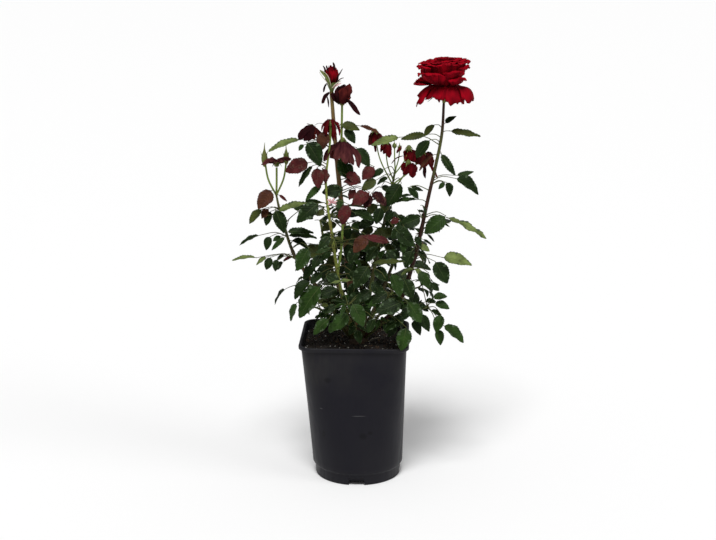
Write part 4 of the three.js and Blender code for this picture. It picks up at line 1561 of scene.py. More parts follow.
@dataclass
class GraftUnion:
    """The swollen knuckle at the mix's level that the canes rise from."""

    foot: float = 17.0
    waist: float = 13.5
    top: float = 9.5
    height: float = 26.0
    base: float = 240.3
    lean: tuple[float, float] = (2.0, -1.0)
    sides: int = 56

    def build(self) -> Piece:
        """Make the knuckle with its folds and stubs.

        Returns:
            The finished piece.
        """
        outline = Curve([
            (self.foot, 0, 0), (self.foot - 1.2, 0, 4), (self.waist, 0, 10),
            (self.waist + 0.6, 0, 16), (self.top + 2, 0, self.height - 3), (self.top - 3, 0, self.height),
        ])
        rise = outline.line(26)
        profile = [(0.0, -1.5), (self.foot - 1, -1.5), *((r, z) for r, _, z in rise), (0.0, self.height)]
        points, faces = turned(profile, self.sides)
        angle = np.arctan2(points[:, 1], points[:, 0])
        up = np.clip(points[:, 2] / self.height, 0, 1)
        swell = 1 + 0.07 * np.sin(3 * angle + 1) * (1 - up) + 0.06 * np.cos(5 * angle) * up
        swell += 0.03 * np.sin(11 * angle + 9 * up) + 0.02 * np.sin(23 * angle - 14 * up)
        points[:, :2] *= swell[:, None]
        points += np.stack([self.lean[0] * up, self.lean[1] * up, np.full(len(up), self.base)], 1)
        draft = Draft()
        draft.add(points, faces, age=0.8)
        return finished(draft.mesh("graft_burl", [UNION_BARK]), ["graft_union"])


@dataclass
class Canes:
    """The canes and low shoots, with swollen joints where leaves stand."""

    canes: Sequence[Cane]
    shoots: Sequence[Cane]
    sides: int = 20
    step: float = 2.2
    flare: float = 0.22
    knuckle: float = 0.26

    def skin(self, cane: Cane, ages: Sequence[float], fuller: float, draft: Draft) -> None:
        """Add one cane's skin with its relief.

        Args:
            cane: The cane.
            ages: Its age at the foot, at 0.62 and 0.77 of the way and at the tip, mostly 0 to 1.
            fuller: What its thickness is multiplied by.
            draft: The mesh it goes into.
        """
        curve = cane.curve()
        length = curve.length()
        count = max(int(length / self.step), 12)
        places = np.linspace(0, 1, count)
        line = curve.line(count)
        swell = 1 + self.flare * np.exp(-places * length / 9)
        for (joint, *_), _ in rows_of(cane):
            swell += self.knuckle * np.exp(-(((places - joint) * length / 2.8) ** 2))
        radius = np.array([cane.radius(place) for place in places]) * swell * fuller
        angle = np.arange(self.sides) / self.sides * TAU
        along = places[:, None] * length
        relief = (
            0.035 * np.sin(3 * angle + 0.03 * along + cane.seed)
            + 0.022 * np.sin(7 * angle - 0.09 * along)
            + 0.012 * np.sin(11 * angle + 0.6 * along)
        )
        points, faces = tube(line, radius[:, None] * (1 + relief), self.sides)
        old = np.repeat(np.interp(places, (0, 0.62, 0.77, 1), ages), self.sides)
        draft.add(points, faces, age=np.concatenate([old, [ages[0], ages[-1]]]))

    def build(self) -> list[Piece]:
        """Make every cane, and the low shoots in one piece.

        Returns:
            The finished pieces.
        """
        pieces = []
        for cane in self.canes:
            look, ages, fuller = LOOKS.get(cane.name, (CaneLook.LEAFY, (0.9, 0.6, 0.4, 0.2), 1.0))
            draft = Draft()
            self.skin(cane, ages, fuller, draft)
            made = draft.mesh(f"{cane.name}_cane", [look.value])
            pieces.append(finished(made, [f"{cane.name}_bough"]))
        low = Draft()
        for shoot in self.shoots:
            self.skin(shoot, (0.6, 0.3, 0.2, 0.1), 1.0, low)
        pieces.append(finished(low.mesh("low_shoots", [CaneLook.LEAFY.value])))
        return pieces


@dataclass
class Spots:
    """Places where one kind of small shape is repeated."""

    points: list[Array] = field(default_factory=list)
    turns: list[Sequence[float]] = field(default_factory=list)
    sizes: list[float] = field(default_factory=list)
    picks: list[int] = field(default_factory=list)

    def put(self, point: Array, axis: Array, up: Array, size: float, pick: int = 0) -> None:
        """Add one place.

        Args:
            point: Where its foot goes, in millimetres.
            axis: The direction of its length.
            up: The direction it faces.
            size: Its length, in millimetres.
            pick: Which form of the shape it takes.
        """
        across = np.cross(up, axis)
        turn = Matrix(np.stack([unit(axis), unit(across), unit(up)], 1).tolist()).to_euler("XYZ")
        self.points.append(point)
        self.turns.append(tuple(turn))
        self.sizes.append(size * MM)
        self.picks.append(pick)

    def take(self, other: "Spots") -> None:
        """Add the places of another set."""
        self.points += other.points
        self.turns += other.turns
        self.sizes += other.sizes
        self.picks += other.picks

    def carrier(self, name: str) -> Piece:
        """Return an object whose bare points carry the places.

        Args:
            name: The object's name.

        Returns:
            The object.
        """
        mesh = bpy.data.meshes.new(name)
        mesh.from_pydata((np.array(self.points) * MM).tolist(), [], [])
        carry(mesh, "turn", "FLOAT_VECTOR", self.turns)
        carry(mesh, "size", "FLOAT", self.sizes)
        carry(mesh, "pick", "INT", self.picks)
        return stand(name, mesh)


def repeat_recipe() -> Recipe:
    """Return the recipe that stands a picked form of a shape on each point."""
    recipe = Recipe("repeated_shapes")
    bench = recipe.bench
    forms = recipe.ask("Forms", "Collection")
    factor = recipe.ask("Size factor", "Float", 1.0)
    finish = recipe.ask("Finish", "Material")
    shapes = bench.node(
        "GeometryNodeCollectionInfo",
        inputs={"Collection": forms, "Separate Children": True, "Reset Children": True},
    )
    turn = bench.node("FunctionNodeEulerToRotation", inputs={0: recipe.named("turn", "FLOAT_VECTOR")})
    size = bench.times(recipe.named("size", "FLOAT"), factor)
    placed = bench.node(
        "GeometryNodeInstanceOnPoints",
        inputs={
            "Points": bench.pick(recipe.start.outputs, "Geometry"),
            "Instance": shapes,
            "Pick Instance": True,
            "Instance Index": recipe.named("pick", "INT"),
            "Rotation": turn.outputs[0],
            "Scale": size,
        },
    )
    return recipe.close(placed, finish)


def rod_recipe() -> Recipe:
    """Return the recipe that wraps lines in round skins of their own thickness."""
    recipe = Recipe("thin_rods")
    bench = recipe.bench
    sides = recipe.ask("Sides", "Int", 7)
    factor = recipe.ask("Thickness factor", "Float", 1.0)
    finish = recipe.ask("Finish", "Material")
    line = bench.node(
        "GeometryNodeMeshToCurve",
        inputs={"Mesh": bench.pick(recipe.start.outputs, "Geometry")},
    )
    ring = bench.node(
        "GeometryNodeCurvePrimitiveCircle", {"mode": "RADIUS"}, {"Resolution": sides, "Radius": 1.0}
    )
    rod = bench.node(
        "GeometryNodeCurveToMesh",
        inputs={
            "Curve": line,
            "Profile Curve": ring.outputs[0],
            "Scale": bench.times(recipe.named("thickness", "FLOAT"), factor),
            "Fill Caps": True,
        },
    )
    return recipe.close(rod, finish)


@dataclass
class Rods:
    """Thin round stalks, gathered as lines with a thickness at each point."""

    points: list[Array] = field(default_factory=list)
    widths: list[Array] = field(default_factory=list)

    def put(self, line: Array, radii: Sequence[float]) -> None:
        """Add a stalk.

        Args:
            line: Its points, in millimetres.
            radii: Its radius at each, in millimetres.
        """
        self.points.append(np.asarray(line, float))
        self.widths.append(np.asarray(radii, float))

    def build(self, name: str, finish: Finish, sides: int = 7) -> Piece:
        """Make all the stalks as one mesh.

        Args:
            name: The object's name.
            finish: Its material.
            sides: Points round each stalk.

        Returns:
            The object.
        """
        edges, start = [], 0
        for line in self.points:
            edges += [(start + i, start + i + 1) for i in range(len(line) - 1)]
            start += len(line)
        mesh = bpy.data.meshes.new(name)
        mesh.from_pydata((np.concatenate(self.points) * MM).tolist(), edges, [])
        carry(mesh, "thickness", "FLOAT", np.concatenate(self.widths) * MM)
        return rod_recipe().run(stand(name, mesh), Sides=sides, Finish=finish.material())


@dataclass
class Thorns:
    """Hooked prickles on every cane, the largest low on the right one."""

    canes: Sequence[Cane]
    spacing: float = 15.0
    lowest: float = 22.0
    highest: float = 0.86
    common: tuple[float, float] = (3.4, 6.4)
    large: tuple[float, float] = (6.5, 11.5)
    sides: int = 8

    def forms(self) -> bpy.types.Collection:
        """Return one prickle, a unit long, standing along +X and hooked down."""
        rows = 6
        shares = np.linspace(0, 1, rows)
        angle = np.arange(self.sides) / self.sides * TAU
        points = []
        for share in shares:
            high = 0.3 * (1 - share) ** 1.5 + 0.012
            wide = 0.12 * (1 - share) ** 1.2 + 0.01
            points += [
                (share - 0.06, wide * math.sin(a), high * math.cos(a) - 0.34 * share**2)
                for a in angle
            ]
        points += [(-0.06, 0, 0), (0.98, 0, -0.35)]
        draft = Draft()
        draft.add(np.array(points) / MM, flipped(capped(rows, self.sides)))
        return shelf("thorn_forms", [draft.mesh("thorn_0", [THORN])])

    def build(self) -> Piece:
        """Make every prickle.

        Returns:
            The finished piece.
        """
        spots = Spots()
        for cane in self.canes:
            roll = Dice(cane.seed * 31 + 5)
            curve = cane.curve()
            length = curve.length()
            reached = self.lowest
            turn = 6.2 * roll()
            while reached < length * self.highest:
                place = reached / length
                along = unit(curve.at(place + 0.005) - curve.at(place - 0.005))
                turn += GOLDEN + 0.5 * roll()
                level = unit(np.cross(along, [0.2, 1, 0.1]))
                out = swung(level, np.cross(along, level), turn)
                size = roll.between(*self.common) * (1.15 - 0.5 * place)
                if cane.name == "right" and 0.2 < place < 0.5:
                    size = roll.between(*self.large)
                radius = cane.radius(place)
                spots.put(curve.at(place) + out * radius * 0.86, out, along, size)
                near = self.spacing * (0.45 if cane.name == "green" and place > 0.6 else 1.0)
                reached += near * roll.between(0.6, 1.4)
        forms = self.forms()
        made = repeat_recipe().run(spots.carrier("thorns"), Forms=forms, Finish=THORN.material())
        clear(forms)
        return finished(made)


def shelf(name: str, objects: Iterable[Piece]) -> bpy.types.Collection:
    """Put shapes in a collection of their own, out of the scene.

    Args:
        name: The collection's name.
        objects: The shapes.

    Returns:
        The collection.
    """
    made = bpy.data.collections.new(name)
    for one in objects:
        made.objects.link(one)
        bpy.context.scene.collection.objects.unlink(one)
    return made


def clear(forms: bpy.types.Collection) -> None:
    """Remove a collection of shapes once they have been used."""
    for one in list(forms.objects):
        bpy.data.objects.remove(one)
    bpy.data.collections.remove(forms)


# ------------------------------------------------------------------ leaves


@dataclass
class LeafletForm:
    """One form of leaflet, a unit long along +X with its face up."""

    seed: int
    width: float = 0.58
    rows: int = 9
    tooth: float = 0.028
    curled: float = 0.0
    limp: float = 0.0

    def __post_init__(self) -> None:
        """Deal the form its fold, arch, twist and waves."""
        roll = Dice(self.seed * 13 + 4)
        self.fold = roll.between(0.06, 0.36) + self.curled * 0.5
        self.arch = roll.between(0.04, 0.24) + self.curled * 0.4 + self.limp * 0.1
        self.twist = roll.between(-0.45, 0.45) * (1 + self.curled)
        self.wave = roll.between(0.008, 0.024) + 0.03 * self.limp
        self.sway = roll.between(-0.08, 0.08)
        self.broad = self.width * roll.between(0.88, 1.1) * (1 - 0.3 * self.curled)
        self.phase = roll() * TAU

    def half(self, along: float) -> float:
        """Return the half width at a place from 0 to 1."""
        share = min(max((along - 0.06) / 0.94, 0.0), 1.0)
        peak = 0.43**0.66 * 0.57**0.9
        return 0.5 * self.broad * share**0.66 * (1 - share) ** 0.9 / peak

    def spot(self, along: float, across: float, half: float) -> tuple[float, float, float]:
        """Place a point of the blade.

        Args:
            along: How far from foot to tip.
            across: How far from rib to edge, from -1 to 1.
            half: The half width there.

        Returns:
            The point.
        """
        side = across * half
        rise = 2 * self.fold * abs(side) * (1 - 0.45 * abs(across))
        rise += self.wave * math.sin(17 * along + self.phase + 2 * across) * across**2
        rise += 0.035 * self.limp * math.sin(9 * along + 4 * across + 2 * self.phase)
        rise += math.sin(self.twist * (along - 0.3)) * side - self.arch * along**2.2
        return (along - 0.1 * self.arch * along, side + self.sway * along**2, rise)

    def blade(self, under: bool) -> Draft:
        """Build one face of the blade with its toothed edge.

        Args:
            under: Whether it is the underside.

        Returns:
            The face's mesh.
        """
        draft = Draft()
        shares = (-1.0, -0.52, 0.0, 0.52, 1.0)
        places = 0.06 + 0.93 * np.linspace(0, 1, self.rows + 1) ** 0.92
        points, flat = [], []
        for along in places[:-1]:
            half = max(self.half(along), 0.006)
            for across in shares:
                point = list(self.spot(along, across, half))
                point[2] -= 0.012 * (1 - abs(across)) if under else 0.0
                points.append(point)
                flat.append((along, 0.5 + 0.5 * across))
        tip = len(points)
        points.append(self.spot(1.0, 0.0, 0.0))
        flat.append((1.0, 0.5))
        faces = flipped(net(self.rows, 5))
        last = (self.rows - 1) * 5
        faces += [(last + i + 1, last + i, tip) for i in range(4)]
        for row in range(self.rows):
            here, ahead = places[row : row + 2]
            along = here + 0.8 * (ahead - here)
            half = self.half(along) + self.tooth * (1 - 0.4 * along)
            for hand in (-1, 1):
                start = row * 5 + (4 if hand > 0 else 0)
                stop = start + 5 if row + 1 < self.rows else tip
                point = len(points)
                points.append(self.spot(along, hand * 1.0, half))
                flat.append((along, 0.5 + 0.5 * hand))
                faces.append((start, point, stop) if hand < 0 else (stop, point, start))
        if under:
            faces = flipped(faces)
        draft.add(np.array(points) / MM, faces, flat)
        return draft

    def rib(self) -> Draft:
        """Build the stalklet and midrib as one tapering rod."""
        draft = Draft()
        places = np.array([0.0, 0.05, 0.12, 0.3, 0.5, 0.7, 0.86, 0.95])
        line = np.array([self.spot(along, 0.0, 0.0) for along in places])
        line[:, 2] -= 0.003
        radii = np.array([0.017, 0.0135, 0.0125, 0.011, 0.009, 0.007, 0.0045, 0.001])
        points, faces = tube(line, radii, 4)
        draft.add(points / MM, faces)
        return draft


RED_TINTS = (MAROON, ROSY, BROWN, DARK)


def faced(axis: Array, lean: float) -> tuple[Array, Array]:
    """Turn a leaf or petal about its own length.

    Args:
        axis: The direction of its length.
        lean: How far its face is turned from as level as it can be, in degrees.

    Returns:
        The direction its face looks in and the one across it.
    """
    up = unit(UP - axis * axis[2])
    face = swung(up, np.cross(axis, up), math.radians(lean))
    return face, np.cross(face, axis)


@dataclass(frozen=True)
class AimedLeaf:
    """One leaf with a place of its own in the crown.

    The lean is how far its face is turned about its length from level, in degrees.
    """

    cane: str
    place: float
    foot: tuple[float, float, float]
    tip: tuple[float, float, float]
    lean: float
    tint: Tint
    slim: bool = False

    def ends(self) -> tuple[Array, Array]:
        """Return its foot and tip."""
        return np.array(self.foot, float), np.array(self.tip, float)


# Each row: place on the cane, foot, tip, lean, tint and whether it is a slim leaflet
AIMED_ROWS: dict[str, tuple[tuple[Any, ...], ...]] = {
    "right": (
        (0.78, 72, -10, 606, 23, -15, 592, -50, LIGHT, True),
        (0.81, 116, -10, 611, 73, -15, 603, -66, OLIVE, True),
        (0.85, 131, -9, 628, 113, -14, 608, -20, OLIVE), (0.79, 123, -16, 603, 100, -23, 572, -26, DEEP),
        (0.74, 130, -17, 578, 105, -22, 550, -17, BROWN, True),
        (0.87, 147, -15, 630, 167, -10, 642, 27, DEEP),
        (0.83, 154, -15, 618, 208, -19, 609, 33, OLIVE, True),
        (0.75, 141, -15, 580, 166, -20, 542, 62, DEEP, True),
        (0.67, 168, -8, 540, 198, -3, 546, 57, MID, True), (0.66, 166, -16, 537, 206, -21, 509, 28, DEEP),
        (0.65, 151, -19, 531, 157, -23, 506, 21, DEEP), (0.65, 149, -17, 530, 138, -17, 518, -66, MID),
        (0.63, 85, -17, 521, 104, -22, 501, 30, DEEP), (0.63, 90, -9, 522, 112, -8, 513, 67, DEEP, True),
        (0.59, 102, -12, 499, 57, -18, 494, -20, MID, True),
        (0.54, 109, -22, 470, 72, -30, 456, -61, DEEP), (0.55, 151, -29, 475, 115, -36, 444, -59, MID),
        (0.54, 152, -25, 471, 221, -30, 435, 16, LIGHT, True),
        (0.45, 107, -22, 421, 124, -26, 411, 59, LIGHT), (0.41, 145, -23, 400, 197, -27, 387, 31, LIGHT),
        (0.4, 133, -29, 395, 155, -37, 357, 54, DEEP), (0.36, 123, -34, 376, 110, -40, 353, -46, DEEP),
        (0.31, 125, -30, 356, 141, -33, 343, 58, DEEP), (0.48, 99, -27, 438, 109, -30, 421, 53, DEEP),
        (0.44, 94, -53, 419, 82, -61, 390, -38, DEEP),
        (0.52, 143, -19, 461, 158, -22, 453, 41, DEEP, True),
        (0.5, 134, -21, 451, 141, -25, 444, 29, DEEP, True),
        (0.49, 119, -22, 441, 132, -25, 427, 37, DEEP, True),
        (0.47, 112, -24, 432, 128, -28, 422, 39, DEEP, True),
        (0.42, 104, -26, 408, 116, -30, 397, 36, DEEP, True),
    ),
    "left": (
        (0.97, -146, -27, 517, -169, -36, 485, -58, BROWN),
        (0.79, -163, -24, 483, -185, -32, 458, -25, OLIVE),
        (0.77, -149, -21, 479, -157, -27, 454, -33, DEEP),
        (0.8, -141, -31, 484, -125, -36, 443, 39, DEEP),
        (0.8, -152, -22, 484, -164, -27, 466, -31, BROWN),
        (0.76, -138, -29, 478, -83, -31, 495, 33, LIGHT, True),
        (0.97, -135, -19, 507, -121, -18, 495, 66, MAROON, True),
        (0.61, -169, -20, 436, -204, -25, 418, -25, DEEP, True),
        (0.61, -150, -27, 436, -157, -32, 412, -47, DEEP),
        (0.61, -124, -32, 436, -147, -37, 413, -62, MID, True),
        (0.64, -122, -34, 445, -74, -37, 444, 41, DEEP, True),
        (0.61, -121, -28, 437, -69, -30, 433, 29, MID, True),
        (0.58, -115, -22, 428, -82, -27, 408, 18, DEEP), (0.54, -81, -55, 423, -102, -64, 384, -53, MID),
        (0.47, -174, -20, 396, -217, -28, 392, -12, LIGHT, True),
        (0.47, -157, -21, 398, -175, -26, 384, -20, LIGHT),
        (0.46, -139, -23, 395, -142, -29, 374, -18, DEEP),
        (0.49, -126, -16, 401, -140, -17, 391, -26, DEEP),
        (0.48, -112, -12, 398, -130, -13, 389, -58, MAROON, True),
        (0.47, -150, -21, 398, -158, -26, 376, -51, DEEP),
        (0.61, -131, -27, 436, -145, -31, 428, -39, MID),
    ),
    "green": (
        (0.97, -94, -41, 606, -149, -49, 586, -25, LIGHT, True),
        (0.97, -89, -45, 598, -98, -45, 587, -52, MID), (0.97, -85, -49, 603, -61, -54, 562, 50, DEEP),
        (0.87, -80, -47, 568, -121, -48, 553, -67, MAROON),
        (0.85, -74, -45, 563, -98, -55, 527, -25, DEEP, True),
        (0.85, -67, -50, 561, -65, -54, 525, 15, MAROON),
        (0.75, -59, -42, 530, -87, -51, 503, -58, MID, True),
        (0.65, -64, -48, 499, -102, -56, 466, -53, DEEP), (0.5, -45, -60, 444, -65, -66, 421, -56, DEEP),
        (0.45, -43, -66, 425, -70, -72, 417, -60, MID, True),
        (0.42, -61, -62, 413, -74, -71, 390, -44, DEEP), (0.34, -59, -58, 381, -78, -67, 362, -31, DEEP),
        (0.65, -14, -55, 499, -25, -63, 465, -39, MAROON), (0.51, 20, -77, 449, -5, -84, 422, -57, BROWN),
        (0.47, 58, -72, 437, 8, -78, 449, -65, ROSY, True),
        (0.32, -5, -84, 374, -49, -90, 367, -13, LIGHT, True),
        (0.43, -46, -22, 418, -61, -28, 393, -52, DEEP), (0.44, 2, -50, 423, -13, -58, 395, -46, DEEP),
        (0.35, -11, -62, 386, 1, -70, 363, 20, DEEP), (0.33, -54, -58, 376, -28, -63, 363, 37, DEEP),
        (0.97, -52, -38, 620, -62, -42, 586, -53, BROWN), (0.84, -59, -42, 558, -54, -46, 531, 8, MAROON),
    ),
    "bud": (
        (0.6, -25, -13, 516, -61, -20, 511, -64, DEEP), (0.71, -32, -5, 569, -20, -11, 535, 28, MID),
        (0.85, -29, 1, 626, 3, -2, 616, 46, OLIVE), (0.83, -22, -1, 620, -5, -6, 594, 54, DEEP),
        (0.84, 1, 6, 623, 39, 7, 608, 29, BROWN, True), (0.75, -3, -8, 588, 20, -13, 555, 59, DEEP),
        (0.63, 6, -26, 533, -24, -31, 531, -38, MAROON), (0.68, 29, -13, 556, 8, -18, 533, -55, MAROON),
        (0.59, 22, -33, 515, -9, -40, 493, -41, MAROON), (0.58, 23, -30, 511, 13, -37, 487, -34, DARK),
        (0.53, -7, -40, 482, 29, -43, 467, 29, DEEP), (0.48, -14, -8, 454, -18, -11, 425, -31, DEEP),
        (0.41, -8, -12, 422, -18, -17, 389, -41, DEEP), (0.34, -5, -14, 390, -14, -19, 355, -41, DEEP),
        (0.69, -20, -7, 560, -10, -10, 537, 25, DEEP), (0.6, -3, -24, 519, -14, -29, 500, -28, MAROON),
        (0.65, -21, -23, 544, 6, -26, 529, 36, MAROON),
    ),
    "middle": (
        (0.8, 23, -21, 511, 49, -24, 490, 31, DARK), (0.61, 71, -18, 467, 56, -20, 456, -50, MAROON),
        (0.92, 33, -17, 534, 7, -22, 516, -62, OLIVE), (0.86, 40, -7, 521, 59, -10, 509, 42, DEEP),
        (0.7, 41, -29, 489, 32, -35, 460, -41, DEEP), (0.67, 59, -10, 481, 49, -14, 461, -51, DEEP),
        (0.89, 75, -7, 527, 50, -16, 487, -44, DEEP), (0.54, 66, -42, 452, 97, -47, 424, 60, DEEP),
        (0.57, 80, -35, 457, 58, -42, 436, -55, DEEP), (0.48, 76, -47, 435, 78, -53, 412, -14, MID),
        (0.32, 25, -69, 399, 83, -71, 403, 19, OLIVE, True), (0.3, 29, -65, 390, 54, -72, 369, 54, DEEP),
        (0.43, 36, -59, 427, 16, -67, 401, -51, DEEP), (0.41, 49, -50, 418, 68, -58, 399, 51, DEEP),
        (0.97, 45, -8, 551, 24, -13, 536, -41, DEEP), (0.94, 52, -8, 537, 33, -13, 524, -26, DEEP),
    ),
    "low_front": (
        (0.61, -3, -24, 355, -15, -29, 326, -54, DEEP), (0.97, 25, -73, 354, -1, -82, 335, -54, DEEP),
        (0.97, -7, -96, 337, 13, -108, 299, 41, MID), (0.49, 31, -89, 309, 20, -95, 284, -34, DEEP),
        (0.97, -32, -67, 355, -65, -74, 340, -49, DEEP), (0.94, -14, -95, 321, -39, -105, 290, -50, MID),
        (0.97, 9, -74, 350, -14, -83, 324, -52, DEEP),
    ),
    "low_front_right": (
        (0.39, 81, -67, 307, 57, -76, 288, -51, DEEP), (0.97, 21, -75, 397, -3, -86, 360, -50, DEEP),
        (0.97, 59, -78, 385, 74, -87, 345, 17, MID), (0.97, 79, -57, 371, 95, -65, 338, 48, DEEP),
        (0.86, 86, -85, 338, 110, -94, 303, 31, MID), (0.3, 85, -95, 296, 77, -107, 257, -18, MID),
        (0.68, 77, -79, 335, 34, -91, 319, -47, DEEP), (0.34, 69, -78, 301, 47, -84, 285, -34, DEEP),
        (0.84, 26, -65, 368, 45, -72, 340, 49, DEEP), (0.91, 53, -70, 350, 27, -79, 331, -54, DEEP),
    ),
    "low_right": (
        (0.75, 93, -61, 323, 78, -69, 299, -43, DEEP), (0.97, 106, -48, 382, 124, -56, 353, 50, MID),
        (0.97, 130, -41, 333, 155, -45, 336, 42, MID), (0.97, 133, -43, 324, 159, -48, 315, 39, MID),
        (0.97, 127, -42, 311, 145, -45, 300, 23, DEEP), (0.97, 145, -53, 307, 136, -61, 276, -30, MID),
        (0.97, 148, -45, 285, 184, -54, 256, 19, MID), (0.97, 140, -51, 280, 144, -57, 252, 24, MID),
        (0.6, 96, -69, 300, 109, -76, 275, 42, DEEP), (0.74, 107, -62, 309, 124, -70, 280, 49, DEEP),
    ),
    "low_front_left": (
        (0.97, -78, -57, 364, -106, -66, 334, -25, DEEP), (0.97, -60, -70, 361, -97, -83, 306, -35, MID),
        (0.95, -103, -60, 327, -113, -66, 295, -7, MID), (0.6, -34, -75, 326, -56, -80, 315, -58, DEEP),
        (0.42, -45, -90, 308, -72, -99, 281, -35, MID),
    ),
}

AIMED: tuple[AimedLeaf, ...] = tuple(
    AimedLeaf(cane, row[0], row[1:4], row[4:7], *row[7:])
    for cane, rows in AIMED_ROWS.items()
    for row in rows
)


# Where the crown stays open towards its front: across and up on the upright plane through the
# pot's middle, radius, and the depth up to which leaves give way
OPENINGS: tuple[tuple[float, float, float, float], ...] = (
    (-73, 450, 11, 999), (156, 440, 9, 999), (-72, 303, 9, 999), (98, 482, 9, 999),
    (-118, 335, 8, 999), (-118, 462, 8, 999), (-162, 402, 7, 999), (139, 413, 7, 999),
    (135, 436, 6, 999), (-143, 403, 6, 999), (168, 456, 5, 999), (69, 483, 5, 999),
    (-24, 434, 7, -34), (-24, 410, 7, -34), (-26, 390, 7, -34), (-46, 420, 5, -60),
    (-9, 465, 7, -30), (-41, 395, 5, -42), (-35, 372, 5, -42), (-33, 352, 5, -42),
    (-29, 332, 5, -42),
)


@dataclass
class Foliage:
    """Every leaf of the crown, by the rule that places them in the solids and a finer one."""

    canes: Sequence[Cane]
    forms: int = 12
    slim_forms: int = 5
    limp_forms: int = 4
    stray: float = 0.1
    clear_share: float = 0.3
    clear_gap: float = 4.0
    slim_width: float = 0.27
    limp_width: float = 0.64
    finer: int = 6
    eye: tuple[float, float, float] = (85.0, -2449.0, 976.0)
    kept: list[tuple[float, float, float, float]] = field(default_factory=lambda: list(OPENINGS))
    blades: dict[Tint, Spots] = field(default_factory=lambda: {tint: Spots() for tint in Tint})
    stalks: Rods = field(default_factory=Rods)

    def dealt(self, cane: Cane, roll: Dice) -> Tint:
        """Deal a spray its tint: deeper low down, brighter towards the light.

        Args:
            cane: The cane it grows from.
            roll: The dice of the spray.

        Returns:
            The tint.
        """
        low = not cane.join
        limits = (0.5, 0.84, 0.92) if low else (0.46, 0.76, 0.9)
        number = roll()
        order = (DEEP, MID, OLIVE, LIGHT)
        return order[sum(number > limit for limit in limits)]

    def grow(self, cane: Cane, row: Sequence[float], seed: int, tint: Tint) -> None:
        """Grow one leaf.

        Args:
            cane: The cane it stands on.
            row: Its place, bearing, rise, reach and number of leaflets.
            seed: The seed of its dice.
            tint: Its tint.
        """
        roll = Dice(seed)
        leaf = Leaf.grown(cane, row, roll)
        parts = [part for part in leaf.blades(roll) if not self.open_at(part)]
        if not parts:
            return
        line = np.array([leaf.frame(share)[0] for share in np.linspace(0, 1, 7)])
        thick = 0.5 + 0.012 * leaf.stalk * (leaf.leaflets > 1)
        self.stalks.put(line, [thick * 1.7, *np.linspace(thick, 0.5, 6)])
        chance = Dice(seed + 900001)
        for point, axis, up, size in parts:
            pick = int(chance() * self.forms)
            spots = self.blades[tint]
            if tint in (DEEP, MID) and chance() < self.stray:
                spots = self.blades[OLIVE if chance() < 0.5 else MID]
            spots.put(point, axis, up, size * chance.between(0.94, 1.08), pick)

    def seen(self, point: Array) -> tuple[float, float]:
        """Return where a point shows on the upright plane through the pot's middle."""
        share = self.eye[1] / (self.eye[1] - point[1])
        return tuple(self.eye[i] + share * (point[i] - self.eye[i]) for i in (0, 2))

    def open_at(self, part: tuple[Array, Array, Array, float]) -> bool:
        """Tell whether a leaflet would close an opening or hide an aimed leaf.

        Args:
            part: The leaflet's foot, direction, facing and length.

        Returns:
            Whether its middle lies in the way.
        """
        point, axis, _, size = part
        middle = point + 0.5 * size * axis
        x, z = self.seen(middle)
        return any(
            math.hypot(x - at_x, z - at_z) < reach + 0.25 * size and middle[1] < behind
            for at_x, at_z, reach, behind in self.kept
        )

    def aim(self, leaf: AimedLeaf, cane: Cane, number: int) -> None:
        """Set one aimed leaf and the stalk that brings it from its cane.

        Args:
            leaf: The leaf.
            cane: Its cane.
            number: Its place in the list, which seeds its form.
        """
        foot, tip = leaf.ends()
        axis = unit(tip - foot)
        face, _ = faced(axis, leaf.lean)
        chance = Dice(number + 4400)
        if leaf.slim:
            first, among = self.forms, self.slim_forms
        elif leaf.tint in RED_TINTS:
            first, among = self.forms + self.slim_forms, self.limp_forms
        else:
            first, among = 0, self.forms - 2
        pick = first + int(chance() * among)
        reach = np.array(self.form(pick).spot(1.0, 0.0, 0.0))
        far = float(np.linalg.norm(reach))
        ahead = reach / far
        level = unit(UP - ahead * ahead[2])
        own = np.stack([ahead, np.cross(level, ahead), level])
        turn = np.stack([axis, np.cross(face, axis), face]).T @ own
        length = float(np.linalg.norm(tip - foot)) / far
        self.blades[leaf.tint].put(foot, turn[:, 0], turn[:, 2], length, pick)
        start = cane.curve().at(leaf.place)
        away = foot - start
        gap = float(np.linalg.norm(away))
        bend = start + 0.5 * away + 0.1 * gap * UP - 0.08 * gap * axis
        line = Curve([start, bend, foot + axis * 1.0]).line(7)
        self.stalks.put(line, [1.1, *np.linspace(0.8, 0.5, 6)])

    def finer_rows(self, cane: Cane) -> list[tuple[tuple[float, ...], int]]:
        """List the small leaves that fill the crown between the main ones.

        Args:
            cane: The cane.

        Returns:
            Each leaf's row and seed.
        """
        rows = []
        fill = cane.fill
        low = not cane.join
        start, stop = (0.3, 0.95) if low else (max(cane.join, 0.3), min(fill.stop + 0.08, 0.95))
        for index in range(self.finer):
            seed = cane.seed * 100 + 80 + index
            roll = Dice(seed + 3000)
            place = start + (stop - start) * (index + 0.5) / self.finer
            bearing = cane.light + 137.5 * index + 60 * (roll() - 0.5)
            rise = roll.between(-30, 34)
            reach = fill.reach[0] * roll.between(0.62, 0.95)
            rows.append(((place, bearing, rise, reach, 5 if roll() < 0.5 else 3), seed))
        return rows

    def form(self, index: int) -> LeafletForm:
        """Return one form of leaflet by its number: common ones, then slim, then limp."""
        if index >= self.forms + self.slim_forms:
            return LeafletForm(index + 1, self.limp_width, limp=1.0)
        if index >= self.forms:
            return LeafletForm(index + 1, self.slim_width)
        return LeafletForm(index + 1, curled=max(0.0, 0.35 * (index - self.forms + 4)))

